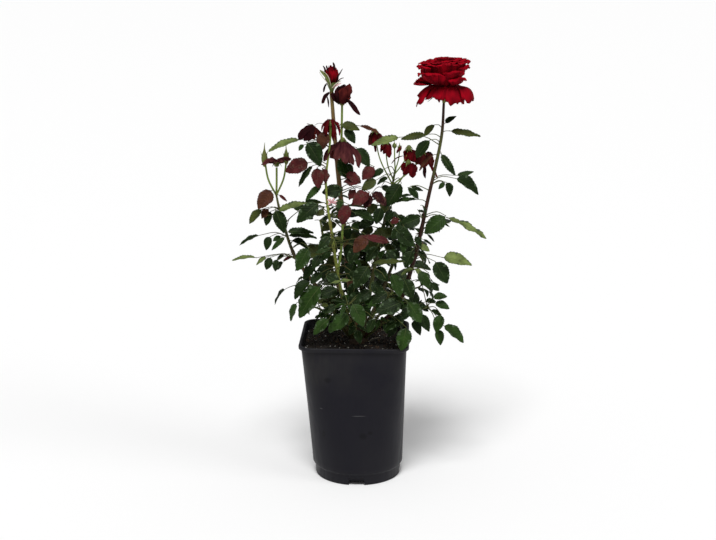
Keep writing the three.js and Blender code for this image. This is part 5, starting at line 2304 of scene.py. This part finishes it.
    def shapes(self, kind: str, make: Callable[[LeafletForm], Draft]) -> bpy.types.Collection:
        """Build every form of one part of the leaflet.

        Args:
            kind: The part's name.
            make: What builds the part of a form.

        Returns:
            The forms.
        """
        made = [
            make(self.form(index)).mesh(f"{kind}_{index:02d}", [LEAF_BACK])
            for index in range(self.forms + self.slim_forms + self.limp_forms)
        ]
        return shelf(f"{kind}_forms", made)

    def build(self) -> list[Piece]:
        """Grow the crown and make its pieces.

        Returns:
            The finished pieces.
        """
        names = {cane.name: cane for cane in self.canes}
        nodes = [f"{cane.name}_foliage" for cane in self.canes]
        for leaf in AIMED:
            foot, tip = leaf.ends()
            middle = 0.5 * (foot + tip)
            reach = self.clear_share * float(np.linalg.norm(tip - foot))
            self.kept.append((*self.seen(middle), reach, middle[1] + self.clear_gap))
        for cane in self.canes:
            for row, seed in rows_of(cane) + self.finer_rows(cane):
                self.grow(cane, row, seed, self.dealt(cane, Dice(seed + 55)))
        for number, leaf in enumerate(AIMED):
            self.aim(leaf, names[leaf.cane], number)
        pieces = []
        tops = self.shapes("leaf_face", lambda form: form.blade(False))
        backs = self.shapes("leaf_back", lambda form: form.blade(True))
        ribs = self.shapes("leaf_rib", LeafletForm.rib)
        green, red = Spots(), Spots()
        for tint, spots in self.blades.items():
            if not spots.points:
                continue
            (red if tint in RED_TINTS else green).take(spots)
            made = repeat_recipe().run(
                spots.carrier(f"leaves_{tint.name.lower()}"), Forms=tops, Finish=tint.value.material()
            )
            pieces.append(finished(made, nodes))
        for name, spots, forms, finish in (
            ("leaf_undersides", green, backs, LEAF_BACK),
            ("leaf_ribs", green, ribs, LEAF_RIB),
            ("red_leaf_undersides", red, backs, RED_LEAF_BACK),
            ("red_leaf_ribs", red, ribs, RED_LEAF_RIB),
        ):
            made = repeat_recipe().run(spots.carrier(name), Forms=forms, Finish=finish.material())
            pieces.append(finished(made))
        for forms in (tops, backs, ribs):
            clear(forms)
        pieces.append(finished(self.stalks.build("leaf_stalks", LEAF_STALK)))
        count = len(green.points) + len(red.points)
        log.info("leaflets: %d on %d stalks", count, len(self.stalks.points))
        return pieces


# ------------------------------------------------------------------ flowers


def thickened(piece: Piece, depth: float) -> Piece:
    """Give thin sheets a thickness.

    Args:
        piece: The object of the sheets.
        depth: The thickness in millimetres.

    Returns:
        The object, its modifier worked in.
    """
    wall = piece.modifiers.new("thickness", "SOLIDIFY")
    wall.thickness, wall.offset = depth * MM, 0.0
    return settle(piece)


@dataclass
class CupPetal:
    """A petal wrapped about the flower's upright axis, its middle given as radius and height."""

    turn: float
    spread: float
    line: Sequence[tuple[float, float]]
    ruffle: float = 2.0
    seed: int = 1
    notch: float = 0.05
    flare: float = 0.0
    frill: float = 0.9
    edges: float = -0.1
    rows: int = 14
    columns: int = 23

    def add_to(self, draft: Draft, centre: Array, slot: int = 0) -> None:
        """Add the petal to a mesh.

        Args:
            draft: The mesh.
            centre: The point on the flower's axis that heights are counted from.
            slot: Its material's place.
        """
        middle = Curve([(r, 0, z) for r, z in self.line])
        roll = Dice(self.seed * 97 + 11)
        phase, second, lobe = roll() * TAU, roll() * TAU, roll() * TAU
        points, flat = [], []
        for share in np.linspace(0, 1, self.rows) ** 0.85:
            for x in np.linspace(-1, 1, self.columns):
                edge = 1 - 0.15 * abs(x) ** 3 + self.notch * math.sin(5.3 * x + lobe) * 0.6
                edge += self.notch * 0.5 * math.sin(13 * x + second)
                edge -= self.notch * math.exp(-30 * x * x)
                s = share * edge
                radius, _, height = middle.at(s)
                width = 0.42 + 0.58 * math.sin(min(s * 1.9, 1.9))
                wave = math.cos(4.2 * x + phase) + 0.5 * math.cos(9.5 * x + second)
                wave *= self.ruffle * s * s
                crimp = self.frill * share**7 * math.sin(24 * x + lobe)
                crimp += 0.6 * self.frill * share**5 * math.sin(14 * x + phase)
                angle = self.turn + x * self.spread * width + 0.05 * math.sin(6 * s + phase)
                radius += 0.6 * wave * (1 - self.flare) - 0.07 * radius * x * x + 0.6 * crimp
                height += wave * (0.3 + 0.7 * self.flare) + self.edges * abs(radius) * s * x * x
                height += crimp
                points.append((radius * math.cos(angle), radius * math.sin(angle), height))
                flat.append((share, 0.5 + 0.5 * x))
        draft.add(np.array(points) + centre, net(self.rows, self.columns), flat, slot=slot)


def ribbon(
    line: Array, side: Array, halves: Array, draft: Draft, slot: int = 0,
    columns: int = 5, bend: float = 0.3, crumple: float = 0.0, seed: int = 1,
) -> None:
    """Add a thin strip along a line, such as a sepal or a limp petal.

    Args:
        line: Its middle points, from foot to tip.
        side: The direction across it at each.
        halves: Its half width at each.
        draft: The mesh it goes into.
        slot: Its material's place.
        columns: Points across it.
        bend: How far its edges stand off, as a share of the half width.
        crumple: The depth of its folds, in millimetres.
        seed: The seed of its folds.
    """
    roll = Dice(seed * 53 + 7)
    a, b, c = roll() * TAU, roll() * TAU, roll() * TAU
    along = np.gradient(line, axis=0)
    points, flat = [], []
    for index, (point, across, half) in enumerate(zip(line, side, halves)):
        share = index / (len(line) - 1)
        face = unit(np.cross(unit(along[index]), across))
        for x in np.linspace(-1, 1, columns):
            fold = math.sin(5.5 * x + a + 3 * share) + 0.6 * math.sin(11 * x - 7 * share + b)
            fold += 0.7 * math.sin(9 * share + 2 * x + c)
            lift = bend * half * x * x + crumple * fold * min(share * 2, 1.0)
            edge = 1 + 0.08 * crumple * math.sin(21 * share + c) * abs(x)
            points.append(point + across * x * half * edge + face * lift)
            flat.append((share, 0.5 + 0.5 * x))
    draft.add(np.array(points), net(len(line), columns), flat, slot=slot)


def sepals(
    draft: Draft, centre: Array, count: int, reach: float, rise: float, width: float,
    start: float, slot: int, base: float = 3.4, curl: float = 0.35,
) -> None:
    """Add a ring of narrow pointed sepals.

    Args:
        draft: The mesh they go into.
        centre: The middle of the flower's foot.
        count: How many there are.
        reach: How far out the tips stand.
        rise: How far up they stand, less than zero where they hang.
        width: The half width of each.
        start: The bearing of the first, in radians.
        slot: Their material's place.
        base: The radius they start at.
        curl: How much the tips turn outwards.
    """
    roll = Dice(int(abs(centre[0]) * 3 + abs(centre[2])) + 3)
    for index in range(count):
        angle = start + TAU * index / count + 0.3 * (roll() - 0.5)
        out = np.array([math.cos(angle), math.sin(angle), 0.0])
        size = roll.between(0.82, 1.1)
        shares = np.linspace(0, 1, 9)
        line = np.array([
            centre + out * (base + (reach - base) * size * (share**0.8 + curl * share**4))
            + UP * rise * size * (share - 0.25 * curl * share**4)
            for share in shares
        ])
        side = np.tile([-out[1], out[0], 0.0], (len(shares), 1))
        halves = width * np.array([0.75, 1.0, 0.98, 0.85, 0.66, 0.46, 0.3, 0.16, 0.03])
        ribbon(line, side, halves, draft, slot, 3, 0.5, 0.0, index)


class Fade(Enum):
    """The tones of limp petals and of the thin parts about a bud."""

    WINE = WINE_PETAL
    MAROON = MAROON_PETAL
    DARK = DARK_PETAL
    PLUM = PLUM_PETAL
    PINK = PINK_PETAL
    GREEN = SEPAL
    PALE = STRAW


@dataclass(frozen=True)
class LimpPetal:
    """A limp petal or sepal from its foot to its tip, arched towards the side it faces."""

    foot: tuple[float, float, float]
    tip: tuple[float, float, float]
    half: float
    lean: float
    fade: Fade
    rows: int = 12

    def add_to(self, draft: Draft, seed: int) -> None:
        """Add the petal to a mesh whose materials are the tones in order.

        Args:
            draft: The mesh.
            seed: The seed of its folds.
        """
        foot, tip = np.array(self.foot, float), np.array(self.tip, float)
        length = float(np.linalg.norm(tip - foot))
        axis = (tip - foot) / length
        face, across = faced(axis, self.lean)
        roll = Dice(seed * 31 + 5)
        sway, arch = roll.between(-0.12, 0.12), roll.between(0.1, 0.2)
        shares = np.linspace(0, 1, self.rows)
        line = np.array([
            foot + axis * length * share + face * arch * length * math.sin(math.pi * share)
            + across * sway * length * math.sin(math.pi * share**1.5)
            for share in shares
        ])
        peak = 0.45**0.5 * 0.55**0.5
        shape = np.maximum(shares, 0.03) ** 0.5 * np.maximum(1 - shares, 0.0) ** 0.5 / peak
        halves = self.half * np.maximum(shape, 0.06)
        ribbon(
            line, np.tile(across, (self.rows, 1)), halves, draft, list(Fade).index(self.fade), 9, -0.25,
            min(0.12 * self.half, 1.1), seed,
        )


@dataclass
class OpenBloom:
    """The open flower: a tight heart, cupped petals round it and a skirt turned down."""

    centre: tuple[float, float] = (145.0, -15.0)
    seat: float = 668.0
    waist: float = 694.0
    top: float = 743.0
    cup: float = 46.0
    heart_petals: int = 9
    inner_petals: int = 19
    outer_petals: int = 9
    thickness: float = 0.45

    def petals(self) -> list[CupPetal]:
        """List the petals from the heart outwards, lower towards the front and the left."""
        rise = self.top - self.waist
        made = []
        for index in range(self.heart_petals):
            r = 3.0 + 1.5 * index
            line = [(3, -8), (r * 0.8 + 2, 14), (r + 3, 30), (r + 1, rise - 5), (r + 3, rise - 3)]
            made.append(CupPetal(GOLDEN * index, 1.4 - 0.08 * index, line, 1.5, index + 1))
        for index in range(self.inner_petals):
            angle = GOLDEN * (index + self.heart_petals)
            front, left = max(-math.sin(angle), 0), max(-math.cos(angle), 0)
            r = (16 + 1.3 * index) * (1 - 0.08 * max(math.cos(angle), 0))
            high = rise - 1.5 - 0.1 * index - 6 * front * r / 40 - 9 * left * r / 40
            line = [
                (6, -8), (r * 0.55, 4), (r * 0.92, 0.45 * high), (r * 1.02, high - 4),
                (r * 1.02 + 4, high - 2), (r * 1.02 + 7, high - 3.5),
            ]
            made.append(CupPetal(angle, 0.8 - 0.014 * index, line, 2.6, index + 20, 0.06))
        for index in range(self.outer_petals):
            angle = index * TAU / self.outer_petals + 0.25 + 0.2 * math.sin(4 * index)
            front, left = max(-math.sin(angle), 0), max(-math.cos(angle), 0)
            high = rise - 6 - 15 * front**0.7 - 8 * left
            right = max(math.cos(angle), 0)
            wide = self.cup * (0.97 + 0.05 * math.sin(9 * index) - 0.12 * right)
            line = [
                (9, -5), ((0.27 + 0.06 * left) * wide, 0), ((0.54 + 0.12 * left - 0.04 * right) * wide, 7),
                ((0.84 + 0.08 * left) * wide, 0.55 * high),
                (wide - 3, high - 3), (wide + 1, high - 1), (wide + 4, high - 5),
            ]
            made.append(CupPetal(angle, 0.5, line, 3.0, index + 50, 0.07, 0.35))
        fold = [(9, -4), (20, 1), (33, 7), (39, 15), (42, 17), (45, 12)]
        made.append(CupPetal(-0.85, 0.52, fold, 2.4, 74, 0.05, 0.6))
        low = [(9, -3), (24, 1), (40, 1), (52, 3)]
        made.append(CupPetal(math.pi * 1.04, 0.36, low, 1.0, 71, 0.02, 0.5, edges=0.14))
        high = [(9, 0), (28, 4), (41, 6), (48, 6)]
        made.append(CupPetal(math.pi * 0.98, 0.34, high, 1.0, 73, 0.02, 0.5, edges=0.2))
        for index, (angle, spread, out, drop) in enumerate((
            (3.45, 0.24, 48, 31), (4.1, 0.6, 38, 19), (4.75, 0.4, 37, 21), (5.3, 0.5, 44, 27),
            (6.05, 0.62, 51, 24), (0.9, 0.6, 47, 23), (1.9, 0.6, 46, 20), (2.75, 0.5, 46, 20),
        )):
            right = max(math.cos(angle), 0)
            line = [
                (6, -3), (15, 1), ((0.6 + 0.16 * right) * out, -0.06 * drop),
                (out - 7 + 4 * right, (0.12 * right - 0.5) * drop), (out, -drop),
            ]
            made.append(CupPetal(angle, spread, line, 3.0, index + 80, 0.035, 0.7, 0.9))
        return made

    def build(self) -> list[Piece]:
        """Make the petals and the green parts under them.

        Returns:
            The finished pieces.
        """
        centre = np.array([*self.centre, self.waist])
        draft = Draft()
        for petal in self.petals():
            petal.add_to(draft, centre)
        flower = thickened(draft.mesh("open_bloom_petals", [RED_PETAL]), self.thickness)
        green = Draft()
        foot = np.array([*self.centre, self.seat])
        profile = [(0, -3), (2.4, -3), (3.0, 0), (6.4, 5), (7.4, 11), (5.2, 17), (8.5, 22), (0, 24)]
        points, faces = turned(profile, 20)
        green.add(points + foot, faces)
        cup = green.mesh("open_bloom_cup", [HIP])
        leaves = Draft()
        sepals(leaves, foot + 17.0 * UP, 5, 24, -17, 3.2, 0.9, 0, 5, 0.1)
        fringe = thickened(leaves.mesh("open_bloom_sepals", [SEPAL]), SHEET)
        return [
            finished(flower, ["open_bloom"]),
            finished(cup),
            finished(fringe),
        ]


# The bud's sepals and the dark tips about it: foot, tip, half width, lean in degrees and tone
BUD_SEPALS: tuple[tuple[Any, ...], ...] = (
    (-45, -4, 690, -64, -4, 718, 3.2, -32, Fade.GREEN), (-45, -6, 690, -61, -6, 718, 0.7, -49, Fade.PALE),
    (-48, -6, 690, -65, -6, 715, 0.6, -48, Fade.PALE), (-49, 1, 689, -59, 3, 712, 2.6, -23, Fade.GREEN),
    (-56, 0, 711, -59, 0, 725, 1.9, -50, Fade.DARK), (-50, -5, 715, -53, -5, 726, 1.7, -51, Fade.DARK),
    (-40, -1, 718, -42, -1, 731, 2.1, -51, Fade.DARK), (-37, 1, 693, -26, 1, 720, 1.9, 43, Fade.DARK),
    (-35, -1, 693, -24, -1, 705, 1.2, 41, Fade.DARK), (-44, -8, 688, -28, -9, 701, 1.1, 53, Fade.PALE),
    (-42, -6, 688, -28, -8, 697, 2.2, 29, Fade.PINK), (-44, 8, 688, -41, 15, 693, 4, -4, Fade.GREEN),
    (-48, 10, 688, -52, 18, 699, 4, 20, Fade.GREEN),
)


@dataclass
class TopBud:
    """The opening bud at the top of its cane, held by flaring sepals."""

    centre: tuple[float, float] = (-45.0, 8.0)
    seat: float = 681.0
    length: float = 45.0
    petals: int = 9

    def build(self) -> list[Piece]:
        """Make the wrapped petals, the green cup and the sepals.

        Returns:
            The finished pieces.
        """
        foot = np.array([*self.centre, self.seat + 0.3])
        draft = Draft()
        for index in range(self.petals):
            r = 3.0 + 0.75 * index
            high = self.length - 0.4 - 1.0 * index
            line = [(2.5, 9), (min(6 + 0.7 * index, 11), 17), (min(r + 5, 12), 27), (r + 1, high)]
            CupPetal(
                GOLDEN * index, 1.3 - 0.06 * index, line, 0.6 + 0.1 * index, index + 5, 0.04,
                frill=0.3,
            ).add_to(draft, foot)
        petals = thickened(draft.mesh("top_bud_petals", [BUD_PETAL]), SHEET)
        green = Draft()
        profile = [
            (0, -2), (2.6, -2), (3.4, 1), (5.2, 5), (7.4, 10), (8.6, 14.5), (8.2, 17), (4, 17.5),
            (0, 17.5),
        ]
        points, faces = turned(profile, 20)
        green.add(points + foot, faces)
        cup = green.mesh("top_bud_cup", [HIP])
        leaves = Draft()
        for number, row in enumerate(BUD_SEPALS):
            LimpPetal(row[:3], row[3:6], *row[6:]).add_to(leaves, number + 200)
        fringe = thickened(leaves.mesh("top_bud_sepals", [fade.value for fade in Fade]), SHEET)
        return [
            finished(petals, ["top_bud"]),
            finished(cup),
            finished(fringe),
        ]


@dataclass(frozen=True)
class OldFlower:
    """A flower past its best, by its crown and the limp petals at its back."""

    name: str
    crown: tuple[float, float, float]
    radius: float
    drop: float
    fade: Fade
    solid: bool = True


OLD_FLOWERS: tuple[OldFlower, ...] = (
    OldFlower("nodding_bloom", (-26, -2, 599), 22, 30, Fade.PLUM),
    OldFlower("wilted_bloom", (-27, 3, 663), 13, -20, Fade.MAROON),
    OldFlower("spent_bloom", (-45, -28, 632), 10, 18, Fade.WINE),
    OldFlower("dark_bloom", (-77, -34, 626), 14, 18, Fade.DARK),
    OldFlower("red_faded_bloom", (87, 44, 579), 10, 15, Fade.WINE),
    OldFlower("red_hanging_bloom", (86, 19, 557), 11, 17, Fade.WINE),
    OldFlower("maroon_bloom", (110, 48, 571), 14, 26, Fade.MAROON),
    OldFlower("small_maroon_bloom", (28, 21, 611), 9, 20, Fade.MAROON),
    OldFlower("flat_bloom", (-138, -20, 561), 17, -2, Fade.PLUM),
    OldFlower("red_dried_bloom", (46, 27, 590), 8, 17, Fade.WINE, False),
)

# Limp petals that have a place of their own, given in the same way
OLD_PETALS: tuple[tuple[Any, ...], ...] = (
    (-28, -25, 598, -56, -34, 568, 9, -17, Fade.PLUM), (-26, -29, 600, -37, -41, 570, 10, -9, Fade.PLUM),
    (-24, -29, 600, -19, -43, 565, 11, -12, Fade.PLUM), (-23, -23, 599, -7, -30, 561, 9, 15, Fade.PLUM),
    (-21, -19, 597, 2, -22, 555, 8, 35, Fade.PLUM), (-25, -21, 599, -11, -24, 562, 9, 39, Fade.PLUM),
    (-24, -7, 597, -14, 2, 564, 10, 86, Fade.MAROON), (-29, -5, 595, -47, 4, 567, 10, -74, Fade.MAROON),
    (-29, -1, 662, -33, -3, 691, 9.5, -82, Fade.DARK), (-27, 1, 664, -14, 4, 694, 10, 48, Fade.MAROON),
    (-29, 7, 661, -23, 13, 692, 11, 17, Fade.DARK), (-27, -5, 661, -23, -9, 689, 9, 112, Fade.MAROON),
    (-20, -5, 670, 4, -8, 643, 4.4, 52, Fade.DARK), (-53, 4, 695, -59, 4, 680, 3, -36, Fade.DARK),
    (-49, 2, 680, -61, 2, 661, 5, -42, Fade.DARK), (-53, 6, 673, -50, 6, 654, 2, 34, Fade.DARK),
    (-31, 5, 660, -45, 8, 680, 7, -26, Fade.DARK), (-27, -1, 662, -12, -4, 673, 7, 47, Fade.MAROON),
    (-51, -36, 638, -60, -38, 620, 1.8, -51, Fade.WINE),
    (-49, -38, 639, -56, -42, 615, 2, -36, Fade.WINE),
    (-47, -40, 640, -52, -46, 613, 2.2, -15, Fade.WINE),
    (-44, -40, 640, -39, -45, 611, 2.2, 8, Fade.WINE), (-42, -37, 639, -34, -41, 614, 2.2, 36, Fade.WINE),
    (-41, -35, 638, -29, -37, 622, 1.8, 51, Fade.WINE),
    (-44, -34, 638, -37, -31, 621, 2.5, 74, Fade.DARK),
    (-49, -34, 638, -55, -30, 624, 2.6, -97, Fade.DARK),
    (-46, -28, 638, -47, -22, 606, 4.4, -153, Fade.WINE),
    (-49, -36, 640, -56, -36, 606, 2.4, -64, Fade.WINE),
    (-42, -36, 640, -35, -35, 603, 2.6, 62, Fade.WINE),
    (-39, -33, 638, -30, -33, 611, 2.4, 61, Fade.WINE),
    (-46, -38, 640, -51, -42, 604, 2.4, -22, Fade.DARK),
    (-41, -33, 640, -40, -33, 601, 2.4, 63, Fade.WINE),
    (-51, -36, 635, -58, -36, 630, 1.2, -31, Fade.DARK),
    (-41, -35, 635, -30, -35, 631, 1.4, 29, Fade.WINE), (-74, -39, 630, -98, -43, 606, 8, -42, Fade.DARK),
    (-74, -40, 627, -89, -45, 604, 7, -46, Fade.DARK),
    (-74, -41, 629, -81, -47, 604, 6.5, -24, Fade.DARK),
    (-72, -39, 628, -72, -45, 606, 6, 24, Fade.MAROON),
    (-71, -36, 625, -63, -38, 603, 5.5, 36, Fade.MAROON),
    (-74, -37, 628, -88, -39, 627, 0.9, 3, Fade.DARK), (-73, -37, 628, -56, -38, 632, 0.8, -1, Fade.DARK),
    (-76, -33, 626, -85, -31, 631, 1.4, -3, Fade.DARK),
    (-136, -29, 569, -162, -34, 561, 6.5, -23, Fade.PLUM),
    (-136, -33, 569, -149, -41, 569, 6.5, -25, Fade.PLUM),
    (-136, -33, 569, -124, -40, 569, 6.5, 24, Fade.PLUM),
    (-137, -25, 568, -113, -22, 569, 6, 20, Fade.PLUM),
    (-136, -31, 569, -135, -41, 568, 5.5, 52, Fade.PLUM), (29, 19, 610, 18, 15, 588, 8, -35, Fade.MAROON),
    (29, 17, 610, 29, 9, 587, 7, -25, Fade.WINE), (27, 17, 591, 30, 15, 576, 3, 14, Fade.MAROON),
    (30, 25, 609, 37, 27, 592, 6, 65, Fade.MAROON), (47, 26, 592, 39, 23, 580, 4, -37, Fade.WINE),
    (49, 24, 590, 53, 18, 566, 7, -6, Fade.WINE), (47, 26, 592, 44, 26, 571, 5, -51, Fade.WINE),
    (51, 32, 589, 56, 36, 576, 4, 84, Fade.MAROON), (91, 43, 576, 82, 39, 555, 8, -36, Fade.WINE),
    (92, 43, 576, 96, 37, 555, 8, 6, Fade.WINE), (89, 49, 575, 79, 51, 564, 7, -55, Fade.WINE),
    (94, 49, 574, 103, 50, 560, 6, 50, Fade.WINE), (89, 19, 557, 74, 17, 545, 7, -40, Fade.WINE),
    (89, 17, 557, 79, 11, 537, 7, -26, Fade.WINE), (91, 15, 557, 94, 7, 533, 8, -1, Fade.WINE),
    (92, 21, 556, 101, 22, 541, 6, 50, Fade.WINE), (112, 48, 571, 99, 45, 550, 8, -39, Fade.MAROON),
    (113, 46, 572, 113, 40, 544, 9, -23, Fade.MAROON), (113, 46, 554, 116, 42, 526, 4, -9, Fade.DARK),
    (117, 50, 569, 128, 50, 546, 8, 52, Fade.MAROON), (120, 48, 554, 131, 47, 535, 3.5, 41, Fade.WINE),
    (128, 48, 543, 137, 47, 526, 3, 32, Fade.WINE), (117, 60, 568, 126, 68, 554, 8, 82, Fade.DARK),
    (77, 33, 567, 57, 32, 553, 1.6, -28, Fade.MAROON), (66, 30, 572, 74, 31, 584, 2.6, 47, Fade.WINE),
    (-24, -34, 463, -33, -36, 477, 4, -49, Fade.MAROON),
    (-24, -34, 463, -16, -36, 479, 4, 51, Fade.MAROON),
    (-43, -59, 501, -50, -59, 507, 1.7, -44, Fade.PINK),
    (-43, -59, 501, -45, -59, 509, 1.7, -50, Fade.PINK),
    (-42, -58, 501, -38, -58, 509, 1.7, 50, Fade.PINK),
    (-42, -58, 501, -33, -58, 504, 1.7, 43, Fade.PINK),
    (-42, -58, 501, -34, -58, 498, 1.7, 42, Fade.PINK),
    (-43, -59, 501, -49, -59, 498, 1.7, -43, Fade.PINK),
    (-43, -61, 503, -43, -61, 497, 1.7, 51, Fade.PINK),
)


@dataclass
class OldFlowers:
    """All the faded flowers, each on its small hip."""

    flowers: Sequence[OldFlower] = OLD_FLOWERS
    hind_petals: int = 5

    def wither(self, flower: OldFlower, petals: Draft, green: Draft) -> None:
        """Add one flower's hip, sepals and hind petals.

        Args:
            flower: The flower.
            petals: The mesh of all the old petals.
            green: The mesh of the hips and sepals.
        """
        crown = np.array(flower.crown, float)
        points, faces = turned([(0, -6), (3.4, -5), (4.7, -2), (4.4, 2), (2.2, 4.6), (0, 5)], 14)
        green.add(points + crown, faces)
        roll = Dice(int(abs(flower.crown[0] * 7 + flower.crown[2])))
        for index in range(self.hind_petals):
            angle = math.pi * (index + 0.3) / self.hind_petals + 0.4 * roll()
            out = np.array([math.cos(angle), math.sin(angle), 0.0])
            reach = flower.radius * roll.between(0.8, 1.05)
            fall = flower.drop * roll.between(0.7, 1.06)
            tip = crown + out * reach - fall * UP
            half = 0.36 * math.hypot(reach, fall)
            petal = LimpPetal(tuple(crown + out * 2.4), tuple(tip), half, 0.0, flower.fade)
            petal.add_to(petals, index + int(crown[2]))
        sepals(green, crown + UP, 5, 9, -7, 1.7, roll() * 6, 1, 3.6, 0.2)

    def build(self) -> list[Piece]:
        """Make the old petals and what holds them.

        Returns:
            The finished pieces.
        """
        petals, green = Draft(), Draft()
        for flower in self.flowers:
            self.wither(flower, petals, green)
        for number, row in enumerate(OLD_PETALS):
            LimpPetal(row[:3], row[3:6], *row[6:]).add_to(petals, number)
        sheets = petals.mesh("old_petals", [fade.value for fade in Fade])
        nodes = [flower.name for flower in self.flowers if flower.solid]
        return [
            finished(thickened(sheets, SHEET), nodes),
            finished(green.mesh("old_flower_hips", [HIP, SEPAL])),
        ]


@dataclass
class SideGrowth:
    """Flower stalks that leave the canes, with the hips and tight buds at their ends."""

    canes: Sequence[Cane]
    steps: int = 14

    def stalks(self) -> Piece:
        """Return the flower stalks as one mesh."""
        names = {cane.name: cane for cane in self.canes}
        rods = Rods()
        for name, place, end, radius in TWIGS:
            cane = names[name]
            line = cane.twig(place, end).line(self.steps)
            thick = max(cane.radius(place) * 0.7, radius)
            radii = thick + (radius - thick) * np.linspace(0, 1, self.steps) ** 0.6
            rods.put(line, radii)
        return rods.build("flower_stalks", FLOWER_STALK, 10)

    def bud(self, centre: Sequence[float], length: float, radius: float, draft: Draft) -> None:
        """Add a hip with a tight bud on it.

        Args:
            centre: Its middle.
            length: Its whole length.
            radius: Its greatest radius.
            draft: The mesh it goes into.
        """
        profile = [
            (0, -0.5), (0.4, -0.49), (0.66, -0.42), (1.0, -0.25), (1.05, -0.12), (0.8, 0.02),
            (0.44, 0.14), (0.2, 0.26), (0.13, 0.38), (0.07, 0.49), (0, 0.5),
        ]
        points, faces = turned([(r * radius, z * length) for r, z in profile], 16)
        middle = np.array(centre, float)
        sway = np.maximum(points[:, 2] / length, 0) ** 2
        points[:, 0] += 3.5 * np.sin(7 * sway) * sway * (1 if centre[0] < -130 else -0.4)
        draft.add(points + middle, faces)
        foot = middle - 0.16 * length * UP
        sepals(draft, foot, 5, radius * 1.3, length * 0.4, radius * 0.3, 0.6, 1, radius * 0.85, 0.5)

    def build(self) -> list[Piece]:
        """Make the stalks and buds.

        Returns:
            The finished pieces.
        """
        draft = Draft()
        for _, centre, length, radius in HIPS:
            self.bud(centre, length, radius, draft)
        buds = draft.mesh("small_buds", [HIP, SEPAL])
        return [finished(self.stalks()), finished(buds)]


@dataclass
class Straws:
    """Dry bits of stalk that lie on the mix."""

    lines: tuple[tuple[tuple[float, float, float], ...], ...] = (
        ((19, -12, 243.6), (27, 0, 246.4), (39, 9, 245.4)),
        ((12, -42, 243.6), (14, -39, 245.0), (17, -38, 244.2)),
        ((-62, -64, 243.2), (-52, -60, 244.2), (-44, -63, 243.0)),
        ((-30, -80, 243.0), (-22, -77, 244.0), (-15, -79, 243.2)),
        ((40, 62, 243.2), (52, 66, 244.4), (60, 60, 243.2)),
    )

    def build(self) -> Piece:
        """Make the straws.

        Returns:
            The finished piece.
        """
        rods = Rods()
        for line in self.lines:
            rods.put(Curve(line).line(9), 0.75 * np.sin(np.linspace(0.35, 2.8, 9)))
        return finished(rods.build("mix_straws", STRAW, 6))


# ------------------------------------------------------------------ studio


@dataclass
class Studio:
    """A pale floor, soft lights and the camera."""

    distance: float = 2.45
    bearing: float = 2.0
    height: float = 0.976
    pitch: float = 13.88
    lens: float = 72.75
    floor_reach: float = 9e4
    floor_drop: float = 0.4
    sky: float = 0.34
    lamps: tuple[tuple[str, tuple[float, float, float], float, float], ...] = (
        ("key_light", (0.08, 0.85, -1.45), 2.6, 22), ("side_light", (-1.2, 0.5, -0.6), 0.6, 30),
    )

    def floor(self) -> None:
        """Lay the floor."""
        draft = Draft()
        far = self.floor_reach
        corners = [(-far, -far), (far, -far), (far, far), (-far, far)]
        draft.add(np.array([(x, y, -self.floor_drop) for x, y in corners]), [(0, 1, 2, 3)])
        draft.mesh("studio_floor", [PAPER])

    def lamp(self, name: str, towards: Sequence[float], power: float, size: float) -> None:
        """Hang one soft distant light.

        Args:
            name: Its name.
            towards: The direction it shines in.
            power: Its strength.
            size: Its angular size in degrees.
        """
        light = bpy.data.lights.new(name, "SUN")
        light.energy, light.angle = power, math.radians(size)
        made = stand(name, light)
        made.rotation_euler = Vector(towards).to_track_quat("-Z", "Y").to_euler()

    def build(self) -> None:
        """Set the floor, the lights, the sky and the camera."""
        self.floor()
        for lamp in self.lamps:
            self.lamp(*lamp)
        world = bpy.data.worlds.new("studio_sky")
        world.use_nodes = True
        backdrop = world.node_tree.nodes["Background"]
        backdrop.inputs[0].default_value = (1, 1, 1, 1)
        backdrop.inputs[1].default_value = self.sky
        bpy.context.scene.world = world
        bpy.context.scene.view_settings.view_transform = "Standard"
        lens = bpy.data.cameras.new("camera")
        lens.lens, lens.sensor_width, lens.sensor_fit = self.lens, 36.0, "HORIZONTAL"
        camera = stand("camera", lens)
        turn = math.radians(self.bearing)
        camera.location = (self.distance * math.sin(turn), -self.distance * math.cos(turn), self.height)
        camera.rotation_euler = (math.radians(90 - self.pitch), 0, turn)
        bpy.context.scene.camera = camera


def main() -> None:
    """Build the pot, the plant and the studio."""
    logging.basicConfig(level=logging.INFO, format="%(message)s")
    plants = (*CANES, *SHOOTS)
    pot = Pot()
    pot.build()
    PottingMix(pot).build()
    GraftUnion().build()
    Canes(CANES, SHOOTS).build()
    SideGrowth(CANES).build()
    Thorns(CANES).build()
    Foliage(plants).build()
    Straws().build()
    OpenBloom().build()
    TopBud().build()
    OldFlowers().build()
    Studio().build()


if __name__ == "__main__":
    main()
